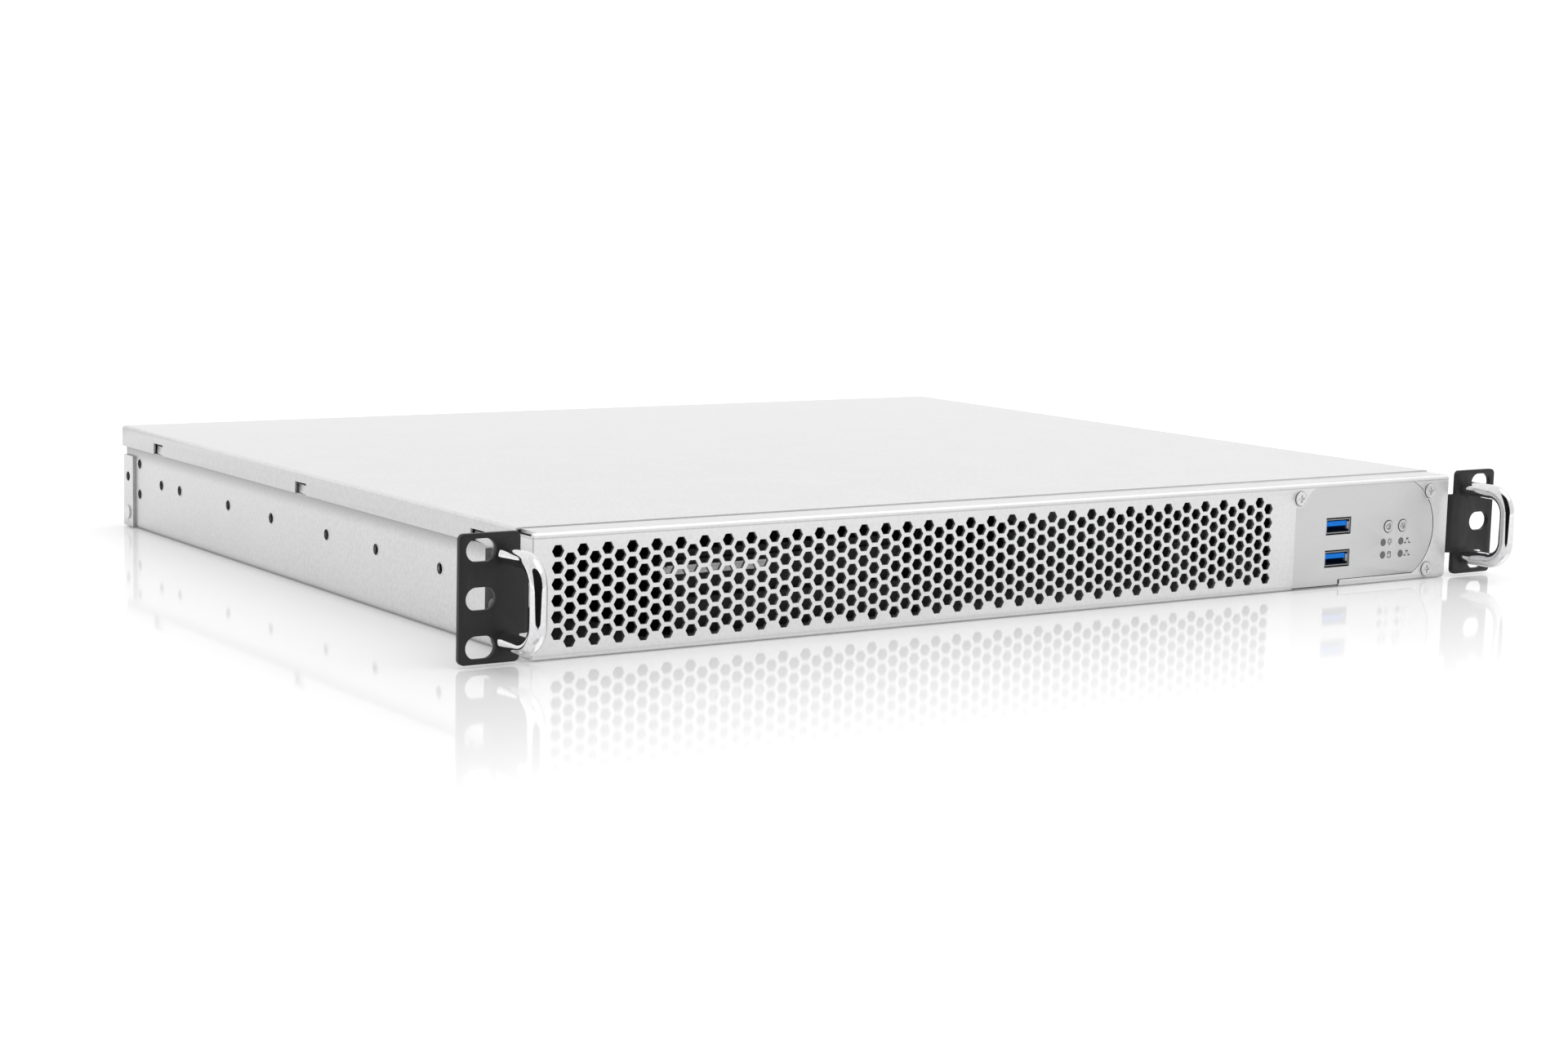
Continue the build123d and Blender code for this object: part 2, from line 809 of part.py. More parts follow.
def make_case_screws():
    """Screws of the handles, ears, cover and control field, and the rivets at the rear corners."""
    feet = [(x, -z) for side in (-1, 1) for x, z in handle_feet(side)]
    handle_screws = screws_on(rear_looking(ear_sheet), feet, ear_sheet + thread_grip, shank=handle_thread)
    keep(handle_screws, "handle_screws")
    rear_places = [(x, -z) for x, z in cover_screw_places()]
    keep(screws_on(rear_looking(case_depth), rear_places, cover_screw_length), "cover_screws")
    keep(screws_on(front_plane(0), control_screw_places(), control_screw_length, head=control_screw_head,
                   height=control_screw_height), "control_screws")
    with BuildPart() as ear_screws:
        for side in (-1, 1):
            face_x = side * (half_width + ear_sheet)
            plane = Plane(origin=(face_x, 0, 0), x_dir=(0, side, 0), z_dir=(side, 0, 0))
            places = [(side * y, z) for y, z in ear_screw_places()]
            with BuildSketch(plane):
                with Locations(*places):
                    Circle(ear_screw_head / 2)
            extrude(amount=ear_screw_height)
            with BuildSketch(plane):
                with Locations(*places):
                    Circle(rail_hole / 2 - fit)
            extrude(amount=-ear_sheet - ear_screw_grip)
            with BuildSketch(plane.offset(ear_screw_height)):
                with Locations(*places):
                    Rectangle(cross_length, cross_width)
                    Rectangle(cross_width, cross_length)
            extrude(amount=-cross_depth, mode=Mode.SUBTRACT)
    keep(ear_screws, "ear_screws")
    rivet_y = rear_flange_places()[1][0]
    with BuildPart() as rivets:
        for side in (-1, 1):
            plane = Plane(origin=(side * half_width, 0, 0), x_dir=(0, side, 0), z_dir=(side, 0, 0))
            with BuildSketch(plane):
                with Locations((side * rivet_y, rivet_height)):
                    Circle(rail_hole / 2 + rivet_rim)
            extrude(amount=rivet_rise)
            with BuildSketch(plane):
                with Locations((side * rivet_y, rivet_height)):
                    Circle(rail_hole / 2 - fit)
            extrude(amount=-rivet_length)
    keep(rivets, "corner_rivets")


def button_places():
    """Centres of the two buttons."""
    return [(power_x, button_z), (reset_x, button_z)]


def light_places():
    """Centres of the four lights."""
    return [(x, z) for x in (light_left, light_right) for z in (light_high, light_low)]


def usb_places():
    """Centres of the two front sockets."""
    return [(usb_x, usb_upper), (usb_x, usb_lower)]


def spacer_places():
    """Where the control board's four spacers stand on the bracket."""
    left = field_left + spacer_inset
    right = right_screw_x - spacer_inset / 2
    return [(x, ear_middle + step * spacer_spread / 2) for x in (left, right) for step in (-1, 1)]


def make_control_plate():
    """Flush plate with the sockets' windows, the buttons' holes and the lights' holes."""
    field = control_field(field_gap)
    with BuildPart() as plate:
        with BuildSketch(front_plane(0)):
            add(field)
        extrude(amount=-front_sheet)
        with BuildSketch(front_plane(0)):
            with Locations(*usb_places()):
                Rectangle(usb_opening, usb_opening_height)
            with Locations(*button_places()):
                Circle(button_size / 2 + button_play)
            with Locations(*light_places()):
                Circle(light_size / 2 + fit)
        extrude(amount=-front_sheet, mode=Mode.SUBTRACT)
    keep(plate, "control_plate")


def make_control_bracket():
    """Folded bracket behind the control plate, which the three front screws hold."""
    back = front_sheet + sheet
    with BuildPart() as bracket:
        slab((bracket_left, front_sheet, front_sheet + bend), (bracket_right, back, lip_under - bend))
        for x in (bracket_left, bracket_right - sheet):
            slab((x, back, bracket_flange_low), (x + sheet, board_depth + bracket_flange_reach,
                 lip_under - bracket_flange_reach))
        slab((usb_x - socket_window / 2, front_sheet, usb_lower - window_margin),
             (usb_x + socket_window / 2, 2 * back, usb_upper + window_margin), mode=Mode.SUBTRACT)
        slab((light_left - lights_margin, front_sheet, light_low - lights_margin),
             (reset_x + window_margin, 2 * back, button_z + window_margin), mode=Mode.SUBTRACT)
        with BuildSketch(front_plane(0)):
            with Locations(*control_screw_places()):
                Circle(screw_shank / 2 + fit)
        extrude(amount=-2 * back, mode=Mode.SUBTRACT)
    keep(bracket, "control_bracket")


def make_control_board():
    """Small board on hexagonal spacers behind the bracket."""
    low_x = bracket_left + sheet + edge_gap
    high_x = bracket_right - sheet - edge_gap
    with BuildPart() as board:
        slab((low_x, board_depth, control_board_low), (high_x, board_depth + board_sheet, control_board_high))
    keep(board, "control_board")
    bracket_back = front_sheet + sheet
    with BuildPart() as spacers:
        with BuildSketch(front_plane(bracket_back)):
            with Locations(*spacer_places()):
                RegularPolygon(spacer_size / 2, 6)
        extrude(amount=bracket_back - board_depth)
    keep(spacers, "board_spacers")


def make_front_sockets():
    """Sheet shells and plastic tongues of the two front sockets."""
    with BuildPart() as shells:
        with BuildSketch(front_plane(socket_setback)):
            with Locations(*usb_places()):
                Rectangle(usb_width, usb_height)
                Rectangle(usb_width - 2 * usb_wall, usb_height - 2 * usb_wall, mode=Mode.SUBTRACT)
        extrude(amount=socket_setback - board_depth)
    keep(shells, "usb_shells")
    with BuildPart() as tongues:
        for x, z in usb_places():
            top = z + usb_height / 2 - usb_wall
            bottom = z - usb_height / 2 + usb_wall
            half = usb_width / 2 - usb_wall
            root = board_depth - tongue_root
            slab((x - half, root, bottom), (x + half, board_depth, top))
            slab((x - half + tongue_gap, socket_setback + tongue_gap, top - tongue_lift - tongue_thickness),
                 (x + half - tongue_gap, root, top - tongue_lift))
    keep(tongues, "usb_tongues")


def make_buttons_and_lights():
    """Push buttons with collars behind the plate, their switches, and four light pipes."""
    with BuildPart() as switches:
        for x, z in button_places():
            slab((x - switch_size / 2, board_depth - switch_body, z - switch_size / 2),
                 (x + switch_size / 2, board_depth, z + switch_size / 2))
    keep(switches, "button_switches")
    collar_front = front_sheet + button_proud
    stem_end = board_depth - switch_body - button_travel - edge_gap
    for place, name in zip(button_places(), ("power_button", "reset_button")):
        with BuildPart() as button:
            with BuildSketch(front_plane(-button_proud)):
                with Locations(place):
                    Circle(button_size / 2)
            extrude(amount=-button_length)
            with BuildSketch(front_plane(collar_front)):
                with Locations(place):
                    Circle(button_collar / 2)
            extrude(amount=-collar_height)
            with BuildSketch(front_plane(collar_front)):
                with Locations(place):
                    Circle(button_stem / 2)
            extrude(amount=collar_front - stem_end)
            with BuildSketch(front_plane(-button_proud)):
                with Locations(place):
                    Circle(button_size / 2 - button_rim)
            extrude(amount=-button_dish, taper=button_dish_taper, mode=Mode.SUBTRACT)
        keep(button, name)
    with BuildPart() as lights:
        with BuildSketch(front_plane(fit)):
            with Locations(*light_places()):
                Circle(light_size / 2)
        extrude(amount=fit - board_depth)
    keep(lights, "status_lights")


def make_main_board():
    """Bare board, the standoffs that carry it and its screws."""
    board_rear = board_front + board_size
    holes = [(x, behind(y)) for x in (board_left + hole_inset, board_right - hole_inset)
             for y in (board_front + hole_inset, board_rear - rear_hole_inset)]
    with BuildPart() as board:
        with BuildSketch(Plane.XY.offset(board_under)):
            with Locations(((board_left + board_right) / 2, behind(board_front + board_size / 2))):
                Rectangle(board_size, board_size)
            with Locations(*holes):
                Circle(screw_shank / 2 + fit, mode=Mode.SUBTRACT)
        extrude(amount=board_sheet)
    keep(board, "main_board")
    with BuildPart() as standoffs:
        with BuildSketch(Plane.XY.offset(floor_top)):
            with Locations(*holes):
                RegularPolygon(standoff_radius, 6)
                Circle(screw_shank / 2 + fit, mode=Mode.SUBTRACT)
        extrude(amount=board_lift)
    keep(standoffs, "board_standoffs")
    keep(screws_on(Plane.XY.offset(board_top), holes, board_sheet + board_screw_grip), "board_screws")


def make_processor():
    """Processor socket under a finned cooler, and the round battery beside it."""
    cooler_place = (board_left + cooler_right, behind(board_front + cooler_back))
    with BuildPart() as socket:
        with BuildSketch(Plane.XY.offset(board_top)):
            with Locations(cooler_place):
                Rectangle(socket_size, socket_size)
        extrude(amount=socket_height)
    keep(socket, "processor_socket")
    base_bottom = board_top + socket_height
    fin_bottom = base_bottom + cooler_base
    with BuildPart() as cooler:
        with BuildSketch(Plane.XY.offset(base_bottom)):
            with Locations(cooler_place):
                Rectangle(cooler_size, cooler_size)
        extrude(amount=cooler_base)
        with BuildSketch(Plane.XY.offset(fin_bottom)):
            with Locations(cooler_place):
                with GridLocations((cooler_size - fin_sheet) / (fin_count - 1), 0, fin_count, 1):
                    Rectangle(fin_sheet, cooler_size)
        extrude(amount=cooler_top - fin_bottom)
    keep(cooler, "processor_cooler")
    with BuildPart() as battery:
        with BuildSketch(Plane.XY.offset(board_top)):
            with Locations((board_left + battery_right, behind(board_front + battery_back))):
                Circle(battery_size / 2)
        extrude(amount=battery_height)
    keep(battery, "clock_battery")


def make_memory():
    """Memory modules with chips on both faces, standing in slots with latches."""
    start = board_front + memory_back
    end = start + memory_length
    slot_top_z = board_top + memory_slot_height
    seat = board_top + memory_seat
    places = [memory_x + index * memory_pitch for index in range(memory_count)]
    with BuildPart() as slots:
        for x in places:
            slab((x - memory_slot_width / 2, start - memory_latch, board_top),
                 (x + memory_slot_width / 2, end + memory_latch, slot_top_z))
            slab((x - memory_sheet / 2 - fit, start - fit, seat),
                 (x + memory_sheet / 2 + fit, end + fit, slot_top_z), mode=Mode.SUBTRACT)
    keep(slots, "memory_slots")
    with BuildPart() as modules:
        for x in places:
            slab((x - memory_sheet / 2, start, seat), (x + memory_sheet / 2, end, memory_top))
            for chip in range(chip_count):
                chip_start = start + memory_slot_height + chip * chip_pitch
                slab((x - chip_width / 2, chip_start, chip_bottom),
                     (x + chip_width / 2, chip_start + chip_length, chip_top))
    keep(modules, "memory_modules")


def socket_block(x, size, mouths, name, tongue=False):
    """Metal block on the board's rear edge; a mouth is (offset, middle height, width, height)."""
    width, depth, height = size
    front = rear_face - depth
    with BuildPart() as block:
        slab((x - width / 2, front, board_top), (x + width / 2, rear_face, board_top + height))
        for offset, middle, mouth, tall in mouths:
            low_x = x + offset - mouth / 2
            high_x = x + offset + mouth / 2
            z = board_top + middle
            slab((low_x, front + socket_back, z - tall / 2), (high_x, rear_face, z + tall / 2),
                 mode=Mode.SUBTRACT)
            if tongue:
                slab((low_x + block_tongue_gap, front + socket_back, z - block_tongue / 2),
                     (high_x - block_tongue_gap, rear_face - block_tongue_gap, z + block_tongue / 2))
    keep(block, name)


def make_rear_ports():
    """Blocks of sockets along the board's rear edge and the thin shield round them."""
    blocks = ((usb_stack_x, usb_stack_size), (display_x, display_size), (network_x, network_size),
              (serial_x, serial_size))
    with BuildPart() as shield:
        slab((io_left - shield_lap, rear_inside - shield_sheet, io_bottom - shield_lap / 2),
             (io_right + shield_lap, rear_inside, io_top + shield_lap))
        for x, (width, depth, height) in blocks:
            slab((x - width / 2 - shield_play, rear_inside - shield_sheet, io_bottom - shield_lap / 2),
                 (x + width / 2 + shield_play, rear_inside, board_top + height + shield_play),
                 mode=Mode.SUBTRACT)
    keep(shield, "port_shield")
    usb_mouths = [(0, usb_stack_low, usb_mouth, usb_mouth_height),
                  (0, usb_stack_low + usb_stack_pitch, usb_mouth, usb_mouth_height)]
    socket_block(usb_stack_x, usb_stack_size, usb_mouths, "rear_usb_ports", tongue=True)
    display_mouth = (0, display_size[2] / 2, display_size[0] - 2 * socket_wall,
                     display_size[2] - 2 * socket_wall)
    socket_block(display_x, display_size, [display_mouth], "display_port", tongue=True)
    network_mouths = [(step * network_spread / 2, network_middle, network_mouth, network_mouth_height)
                      for step in (-1, 1)]
    socket_block(network_x, network_size, network_mouths, "network_ports")
    serial_mouth = (0, serial_size[2] / 2, serial_mouth_width, serial_mouth_height)
    socket_block(serial_x, serial_size, [serial_mouth], "serial_port")


def fan_plane(x, z, depth):
    """A plane across a fan's axle, facing the rear."""
    return Plane(origin=(x, behind(depth), z), x_dir=(1, 0, 0), z_dir=(0, 1, 0))


def make_fan_frame(plane, size, duct, name):
    """Square duct with a motor seat on four struts at its rear end."""
    with BuildPart(plane) as frame:
        with BuildSketch(plane):
            RectangleRounded(size, size, fan_corner)
            Circle(duct / 2, mode=Mode.SUBTRACT)
        extrude(amount=fan_depth)
        with BuildSketch(plane.offset(fan_depth - fan_seat)):
            Circle(fan_hub / 2)
            Rectangle(duct + fan_strut_joint, fan_strut)
            Rectangle(fan_strut, duct + fan_strut_joint)
            Circle(fan_shaft / 2 + shaft_play, mode=Mode.SUBTRACT)
        extrude(amount=fan_seat)
    keep(frame, name)


def fan_blade(duct):
    """One slanted blade, modelled about the origin with the axle along Z."""
    with BuildPart() as blade:
        with BuildSketch(Plane.YZ.offset(fan_hub / 2 - blade_joint)):
            Rectangle(blade_chord, blade_sheet, rotation=blade_angle)
        extrude(amount=(duct - fan_hub) / 2 + blade_joint)
        # The tips are trimmed to run close to the duct.
        with BuildSketch(Plane.XY.offset(-fan_depth / 2)):
            Circle(duct)
            Circle(duct / 2 - blade_gap, mode=Mode.SUBTRACT)
        extrude(amount=fan_depth, mode=Mode.SUBTRACT)
    return blade.part


def make_fan_rotor(plane, duct, name):
    """Hub, shaft and slanted blades."""
    hub_end = fan_depth - fan_seat - hub_gap
    blade = fan_blade(duct)
    with BuildPart(plane) as rotor:
        with BuildSketch(plane.offset(hub_start)):
            Circle(fan_hub / 2)
        extrude(amount=hub_end - hub_start)
        with BuildSketch(plane.offset(hub_end)):
            Circle(fan_shaft / 2)
        extrude(amount=fan_seat)
        with Locations(Location((0, 0, (hub_start + hub_end) / 2))):
            with PolarLocations(0, fan_blades):
                add(blade)
    keep(rotor, name)


def make_fans():
    """Fan wall in front of the board: a folded bracket and three fans."""
    fan_z = floor_top + fan_size / 2
    rear = fan_front + fan_depth
    wall_left = fan_first - fan_size / 2 - fan_wall_margin
    wall_right = fan_first + (fan_count - 1) * fan_pitch + fan_size / 2 + fan_wall_margin
    with BuildPart() as bracket:
        slab((wall_left, rear, floor_top), (wall_right, rear + sheet, fan_wall_top))
        slab((wall_left, rear + sheet, floor_top), (wall_right, rear + fan_wall_foot, floor_top + sheet))
        for x in (wall_left - sheet, wall_right):
            slab((x, fan_front, floor_top), (x + sheet, rear + sheet, fan_cheek_top))
        with BuildSketch(front_plane(fan_front)):
            with Locations(*[(fan_first + index * fan_pitch, fan_z) for index in range(fan_count)]):
                Circle(fan_duct / 2)
        extrude(amount=-fan_depth - sheet, mode=Mode.SUBTRACT)
    keep(bracket, "fan_bracket")
    for index in range(fan_count):
        plane = fan_plane(fan_first + index * fan_pitch, fan_z, fan_front)
        make_fan_frame(plane, fan_size, fan_duct, f"fan_frame_{index + 1}")
        make_fan_rotor(plane, fan_duct, f"fan_rotor_{index + 1}")


def make_power_supply():
    """Folded box with a fan, a mains inlet and a rocker switch in its rear face."""
    top = floor_top + psu_height
    with BuildPart() as box:
        slab((psu_left, psu_front, floor_top), (psu_right, rear_inside, top))
        slab((psu_left + psu_sheet, psu_front + psu_sheet, floor_top + psu_sheet),
             (psu_right - psu_sheet, rear_inside - psu_sheet, top - psu_sheet), mode=Mode.SUBTRACT)
        with BuildSketch(front_plane(rear_inside)):
            with Locations((psu_fan_x, psu_middle_z)):
                Circle(psu_fan_duct / 2)
            with Locations((inlet_x, inlet_z)):
                Rectangle(inlet_width - 2 * inlet_wall + 2 * fit, inlet_height - 2 * inlet_wall + 2 * fit)
            with Locations((switch_x, psu_middle_z)):
                Rectangle(switch_width - 2 * switch_wall + 2 * fit, switch_height - 2 * switch_wall + 2 * fit)
        extrude(amount=psu_sheet, mode=Mode.SUBTRACT)
        with BuildSketch(front_plane(psu_front)):
            with Locations((power_cable_x, power_cable_z)):
                Circle(power_cable_size / 2)
        extrude(amount=-psu_sheet, mode=Mode.SUBTRACT)
    keep(box, "power_supply_case")

    plane = fan_plane(psu_fan_x, psu_middle_z, rear_inside - psu_sheet - fan_depth)
    make_fan_frame(plane, psu_fan_size, psu_fan_duct, "psu_fan_frame")
    make_fan_rotor(plane, psu_fan_duct, "psu_fan_rotor")

    with BuildPart() as guard:
        with BuildSketch(rear_looking(rear_inside)):
            with Locations((psu_fan_x, -psu_middle_z)):
                for radius in guard_radii:
                    Circle(radius)
                    Circle(radius - guard_wire, mode=Mode.SUBTRACT)
                Rectangle(guard_wire, 2 * guard_radii[0] + 2 * guard_wire)
                Rectangle(2 * guard_radii[0] + 2 * guard_wire, guard_wire)
        extrude(amount=guard_thickness)
    keep(guard, "psu_fan_guard")

    half_wide = mouth_width / 2
    half_high = mouth_height / 2
    low_half = half_wide - mouth_corner
    side_height = mouth_height - mouth_corner
    with BuildPart() as inlet:
        with BuildSketch(rear_looking(rear_inside)):
            with Locations((inlet_x, -inlet_z)):
                RectangleRounded(inlet_width, inlet_height, inlet_corner)
        extrude(amount=inlet_flange)
        with BuildSketch(rear_looking(rear_inside)):
            with Locations((inlet_x, -inlet_z)):
                Rectangle(inlet_width - 2 * inlet_wall, inlet_height - 2 * inlet_wall)
        extrude(amount=-inlet_depth)
        with BuildSketch(rear_looking(rear_inside + inlet_flange)):
            with Locations((inlet_x, -inlet_z)):
                Polygon((-half_wide, half_high), (-half_wide, half_high - side_height),
                        (-low_half, -half_high), (low_half, -half_high),
                        (half_wide, half_high - side_height), (half_wide, half_high), align=None)
        extrude(amount=-inlet_depth, mode=Mode.SUBTRACT)
    keep(inlet, "power_inlet")
    pin_root = rear_inside + inlet_flange - inlet_depth
    with BuildPart() as pins:
        for step, drop in ((-1, pin_drop), (0, -earth_rise), (1, pin_drop)):
            x = inlet_x + step * pin_pitch
            z = inlet_z - drop
            slab((x - pin_width / 2, pin_root, z - pin_height / 2),
                 (x + pin_width / 2, rear_inside - pin_setback, z + pin_height / 2))
    keep(pins, "inlet_pins")

    housing_face = rear_inside + switch_flange
    pivot_depth = rear_inside - pivot_setback
    with BuildPart() as housing:
        with BuildSketch(rear_looking(rear_inside)):
            with Locations((switch_x, -psu_middle_z)):
                Rectangle(switch_width, switch_height)
        extrude(amount=switch_flange)
        with BuildSketch(rear_looking(rear_inside)):
            with Locations((switch_x, -psu_middle_z)):
                Rectangle(switch_width - 2 * switch_wall, switch_height - 2 * switch_wall)
        extrude(amount=-switch_depth)
        with BuildSketch(rear_looking(housing_face)):
            with Locations((switch_x, -psu_middle_z)):
                Rectangle(rocker_width + 2 * rocker_play, 2 * rocker_half + 3 * rocker_play)
        extrude(amount=switch_wall - switch_depth, mode=Mode.SUBTRACT)
        with BuildSketch(Plane.YZ.offset(switch_x)):
            with Locations((behind(pivot_depth), psu_middle_z)):
                Circle(pivot_size / 2 + shaft_play)
        extrude(amount=rocker_width / 2 + pivot_reach, both=True, mode=Mode.SUBTRACT)
    keep(housing, "switch_housing")
    with BuildPart() as rocker:
        with BuildSketch(Plane.YZ.offset(switch_x)):
            with Locations(Location((behind(pivot_depth), psu_middle_z, 0), (0, 0, rocker_tilt))):
                Polygon((-rocker_back, 2 * rocker_play - rocker_half), (rocker_front, -rocker_half),
                        (rocker_front - rocker_dip, 0), (rocker_front, rocker_half),
                        (-rocker_back, rocker_half - 2 * rocker_play), align=None)
        extrude(amount=rocker_width / 2, both=True)
        with BuildSketch(Plane.YZ.offset(switch_x)):
            with Locations((behind(pivot_depth), psu_middle_z)):
                Circle(pivot_size / 2)
        extrude(amount=rocker_width / 2 + pivot_reach - shaft_play, both=True)
    keep(rocker, "switch_rocker")


def make_drive():
    """Disk drive held between the walls of a folded bracket, behind the grille."""
    left = drive_left
    right = drive_left + drive_width
    bottom = floor_top + drive_lift
    top = bottom + drive_height
    rear = drive_front + drive_length
    with BuildPart() as drive:
        slab((left, drive_front, bottom), (right, rear, top - drive_step))
        slab((left + drive_step, drive_front + drive_step, top - drive_step),
             (right - drive_step, rear - drive_step, top))
        slab((left + drive_plug_left, rear - drive_step, bottom), (left + drive_plug_right, rear,
             bottom + drive_plug_height), mode=Mode.SUBTRACT)
    keep(drive, "disk_drive")
    start = drive_front - drive_wall_gap
    end = rear - drive_wall_end
    shelf = bottom + drive_shelf
    with BuildPart() as bracket:
        for x, outward in ((left - sheet, -1), (right, 1)):
            slab((x, start, floor_top), (x + sheet, end, bottom + drive_wall))
            low, high = sorted((x + sheet / 2, x + sheet / 2 + outward * drive_foot))
            slab((low, start, floor_top), (high, end, floor_top + sheet))
        slab((left - sheet, start - sheet, floor_top), (right + sheet, start, shelf))
        slab((left - sheet, start - sheet, shelf), (right + sheet, drive_front - drive_gap, shelf + sheet))
    keep(bracket, "drive_bracket")


def cable(points, diameter, radii, name):
    """A cable held at both ends: straight runs joined by arcs."""
    start = Vector(*points[0])
    direction = Vector(*points[1]) - start
    with BuildPart() as tube:
        with BuildLine() as path:
            FilletPolyline(*points, radius=radii)
        with BuildSketch(Plane(origin=start, z_dir=direction)):
            Circle(diameter / 2)
        sweep(path=path.line)
    keep(tube, name)


def make_plugs():
    """The plugs at the ends of the cables inside."""
    with BuildPart() as power_plug:
        left = board_left + power_plug_left
        front = board_front + power_plug_front
        slab((left, front, board_top),
             (left + power_plug_width, front + power_plug_depth, board_top + power_plug_height))
    keep(power_plug, "power_plug")
    with BuildPart() as plugs:
        for left, back in ((board_right - signal_plug_inset - signal_plug_width, control_socket_back),
                           (board_left + signal_plug_inset, drive_socket_back)):
            front = board_front + back
            slab((left, front, board_top),
                 (left + signal_plug_width, front + signal_plug_depth, board_top + signal_plug_height))
        low_z = floor_top + drive_lift + plug_clearance
        slab((drive_plug_x, drive_plug_rear - drive_end_plug_depth, low_z),
             (drive_plug_x + drive_end_plug_width, drive_plug_rear, drive_plug_top - plug_clearance))
        slab((control_plug_x, board_depth + board_sheet, control_end_plug_z - control_end_plug_height / 2),
             (control_plug_x + control_end_plug_width, control_plug_rear,
              control_end_plug_z + control_end_plug_height / 2))
    keep(plugs, "signal_plugs")


def make_power_cable():
    """Thick bundle from the power supply to the board's power plug."""
    end_x = board_left + power_plug_left + power_cable_end
    end_z = board_top + power_cable_rise
    turn = behind(board_front - power_cable_turn)
    cable([(power_cable_x, behind(psu_front + psu_sheet), power_cable_z),
           (power_cable_x, turn, power_cable_z), (end_x, turn, end_z),
           (end_x, behind(board_front + power_plug_front), end_z)],
          power_cable_size, power_cable_bend, "power_cable")


def make_signal_cables():
    """The drive's cable and the control board's cable, both lying over the floor."""
    signal_z = board_top + signal_plug_height / 2
    start_x = drive_plug_x + drive_end_plug_width / 2
    start_z = (floor_top + drive_lift + drive_plug_top) / 2
    lane = board_left - 14
    end_y = behind(board_front + drive_socket_back + signal_plug_depth / 2)
    cable([(start_x, behind(drive_plug_rear), start_z), (start_x, behind(drive_plug_rear + 12), start_z),
           (lane, end_y - 23, start_z + 5), (lane, end_y, signal_z),
           (board_left + signal_plug_inset, end_y, signal_z)],
          signal_cable_size, [5, 12, 5.5], "drive_cable")
    start_x = control_plug_x + control_end_plug_width / 2
    start_y = behind(control_plug_rear)
    lane = board_right + 30
    end_y = behind(board_front + control_socket_back + signal_plug_depth / 2)
    cable([(start_x, start_y, control_end_plug_z), (start_x, start_y + 26, control_end_plug_z),
           (start_x - 22, start_y + 64, 9), (lane + 3, start_y + 112, 7), (lane, end_y - 31, 9),
           (lane - 5, end_y, signal_z), (board_right - signal_plug_inset, end_y, signal_z)],
          signal_cable_size, [22, 30, 40, 30, 8], "control_cable")


def make_expansion_cover():
    """Blank plate behind the window of the unused card slot."""
    with BuildPart() as blank:
        slab((slot_left - slot_cover_lap, rear_inside - slot_cover_sheet, slot_bottom - slot_cover_lap / 2),
             (slot_right + slot_cover_lap, rear_inside, slot_top + slot_cover_lap / 2))
    keep(blank, "slot_cover")


make_chassis_tray()
make_front_panel()
make_ear_packers()
make_top_cover()
make_rear_panel()
make_ear(-1, "left_ear")
make_ear(1, "right_ear")
make_handle(-1, "left_handle")
make_handle(1, "right_handle")
make_case_screws()
make_control_plate()
make_control_bracket()
make_control_board()
make_front_sockets()
make_buttons_and_lights()
make_main_board()
make_processor()
make_memory()
make_rear_ports()
make_fans()
make_power_supply()
make_drive()
make_plugs()
make_power_cable()
make_signal_cables()
make_expansion_cover()
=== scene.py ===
"""The looks of a short one-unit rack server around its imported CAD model."""

import json
import math

import bmesh
import bpy
from mathutils import Matrix, Vector


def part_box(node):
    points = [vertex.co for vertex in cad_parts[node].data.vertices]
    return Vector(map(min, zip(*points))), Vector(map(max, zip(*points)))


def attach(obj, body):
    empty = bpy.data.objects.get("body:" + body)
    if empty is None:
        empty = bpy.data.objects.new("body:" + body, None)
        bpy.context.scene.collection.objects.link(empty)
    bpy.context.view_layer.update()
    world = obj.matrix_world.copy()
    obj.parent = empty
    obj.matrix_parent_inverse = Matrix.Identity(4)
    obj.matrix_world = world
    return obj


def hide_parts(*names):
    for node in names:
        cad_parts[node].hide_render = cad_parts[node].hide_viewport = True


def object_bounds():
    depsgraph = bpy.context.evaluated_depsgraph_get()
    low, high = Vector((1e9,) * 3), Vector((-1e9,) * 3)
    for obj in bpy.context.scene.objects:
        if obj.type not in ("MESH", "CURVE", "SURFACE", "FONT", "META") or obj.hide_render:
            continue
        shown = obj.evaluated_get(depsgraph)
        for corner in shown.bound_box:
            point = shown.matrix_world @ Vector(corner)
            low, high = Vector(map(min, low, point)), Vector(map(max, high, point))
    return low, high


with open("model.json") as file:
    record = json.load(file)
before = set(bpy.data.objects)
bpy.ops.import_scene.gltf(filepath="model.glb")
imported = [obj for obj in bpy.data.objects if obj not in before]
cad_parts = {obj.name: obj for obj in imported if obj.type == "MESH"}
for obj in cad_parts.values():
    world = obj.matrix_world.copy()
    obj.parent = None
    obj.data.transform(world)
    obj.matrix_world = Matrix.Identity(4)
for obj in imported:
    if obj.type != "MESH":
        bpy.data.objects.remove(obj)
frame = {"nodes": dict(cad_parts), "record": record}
cad_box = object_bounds()

MM = 0.001
NODES = frame["nodes"]
BODIES = frame["record"]["behaviour"]["bodies"]
BODY_OF = {node: body for body, nodes in BODIES.items() for node in nodes}
SLOT_OF = {part["node"]: part["material_slot"] for part in frame["record"]["subparts"]}

FRONT_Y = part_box("front_panel")[0][1]
CASE_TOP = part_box("front_panel")[1][2]
CHASSIS = BODY_OF["front_panel"]

# Where the photograph was taken from; the camera stands this far in front of the front panel
IMAGE_WIDTH = 1920
FOCAL_PIXELS = 3452.2
SENSOR_WIDTH = 36.0
CAMERA_DISTANCE = 0.7903
CAMERA_PLACE = (-0.6582, FRONT_Y - CAMERA_DISTANCE, 0.1700)
CAMERA_TURN = -34.478
CAMERA_TILT = -7.682
CAMERA_ROLL = 1.48
CAMERA_CLIP = (0.01, 100)

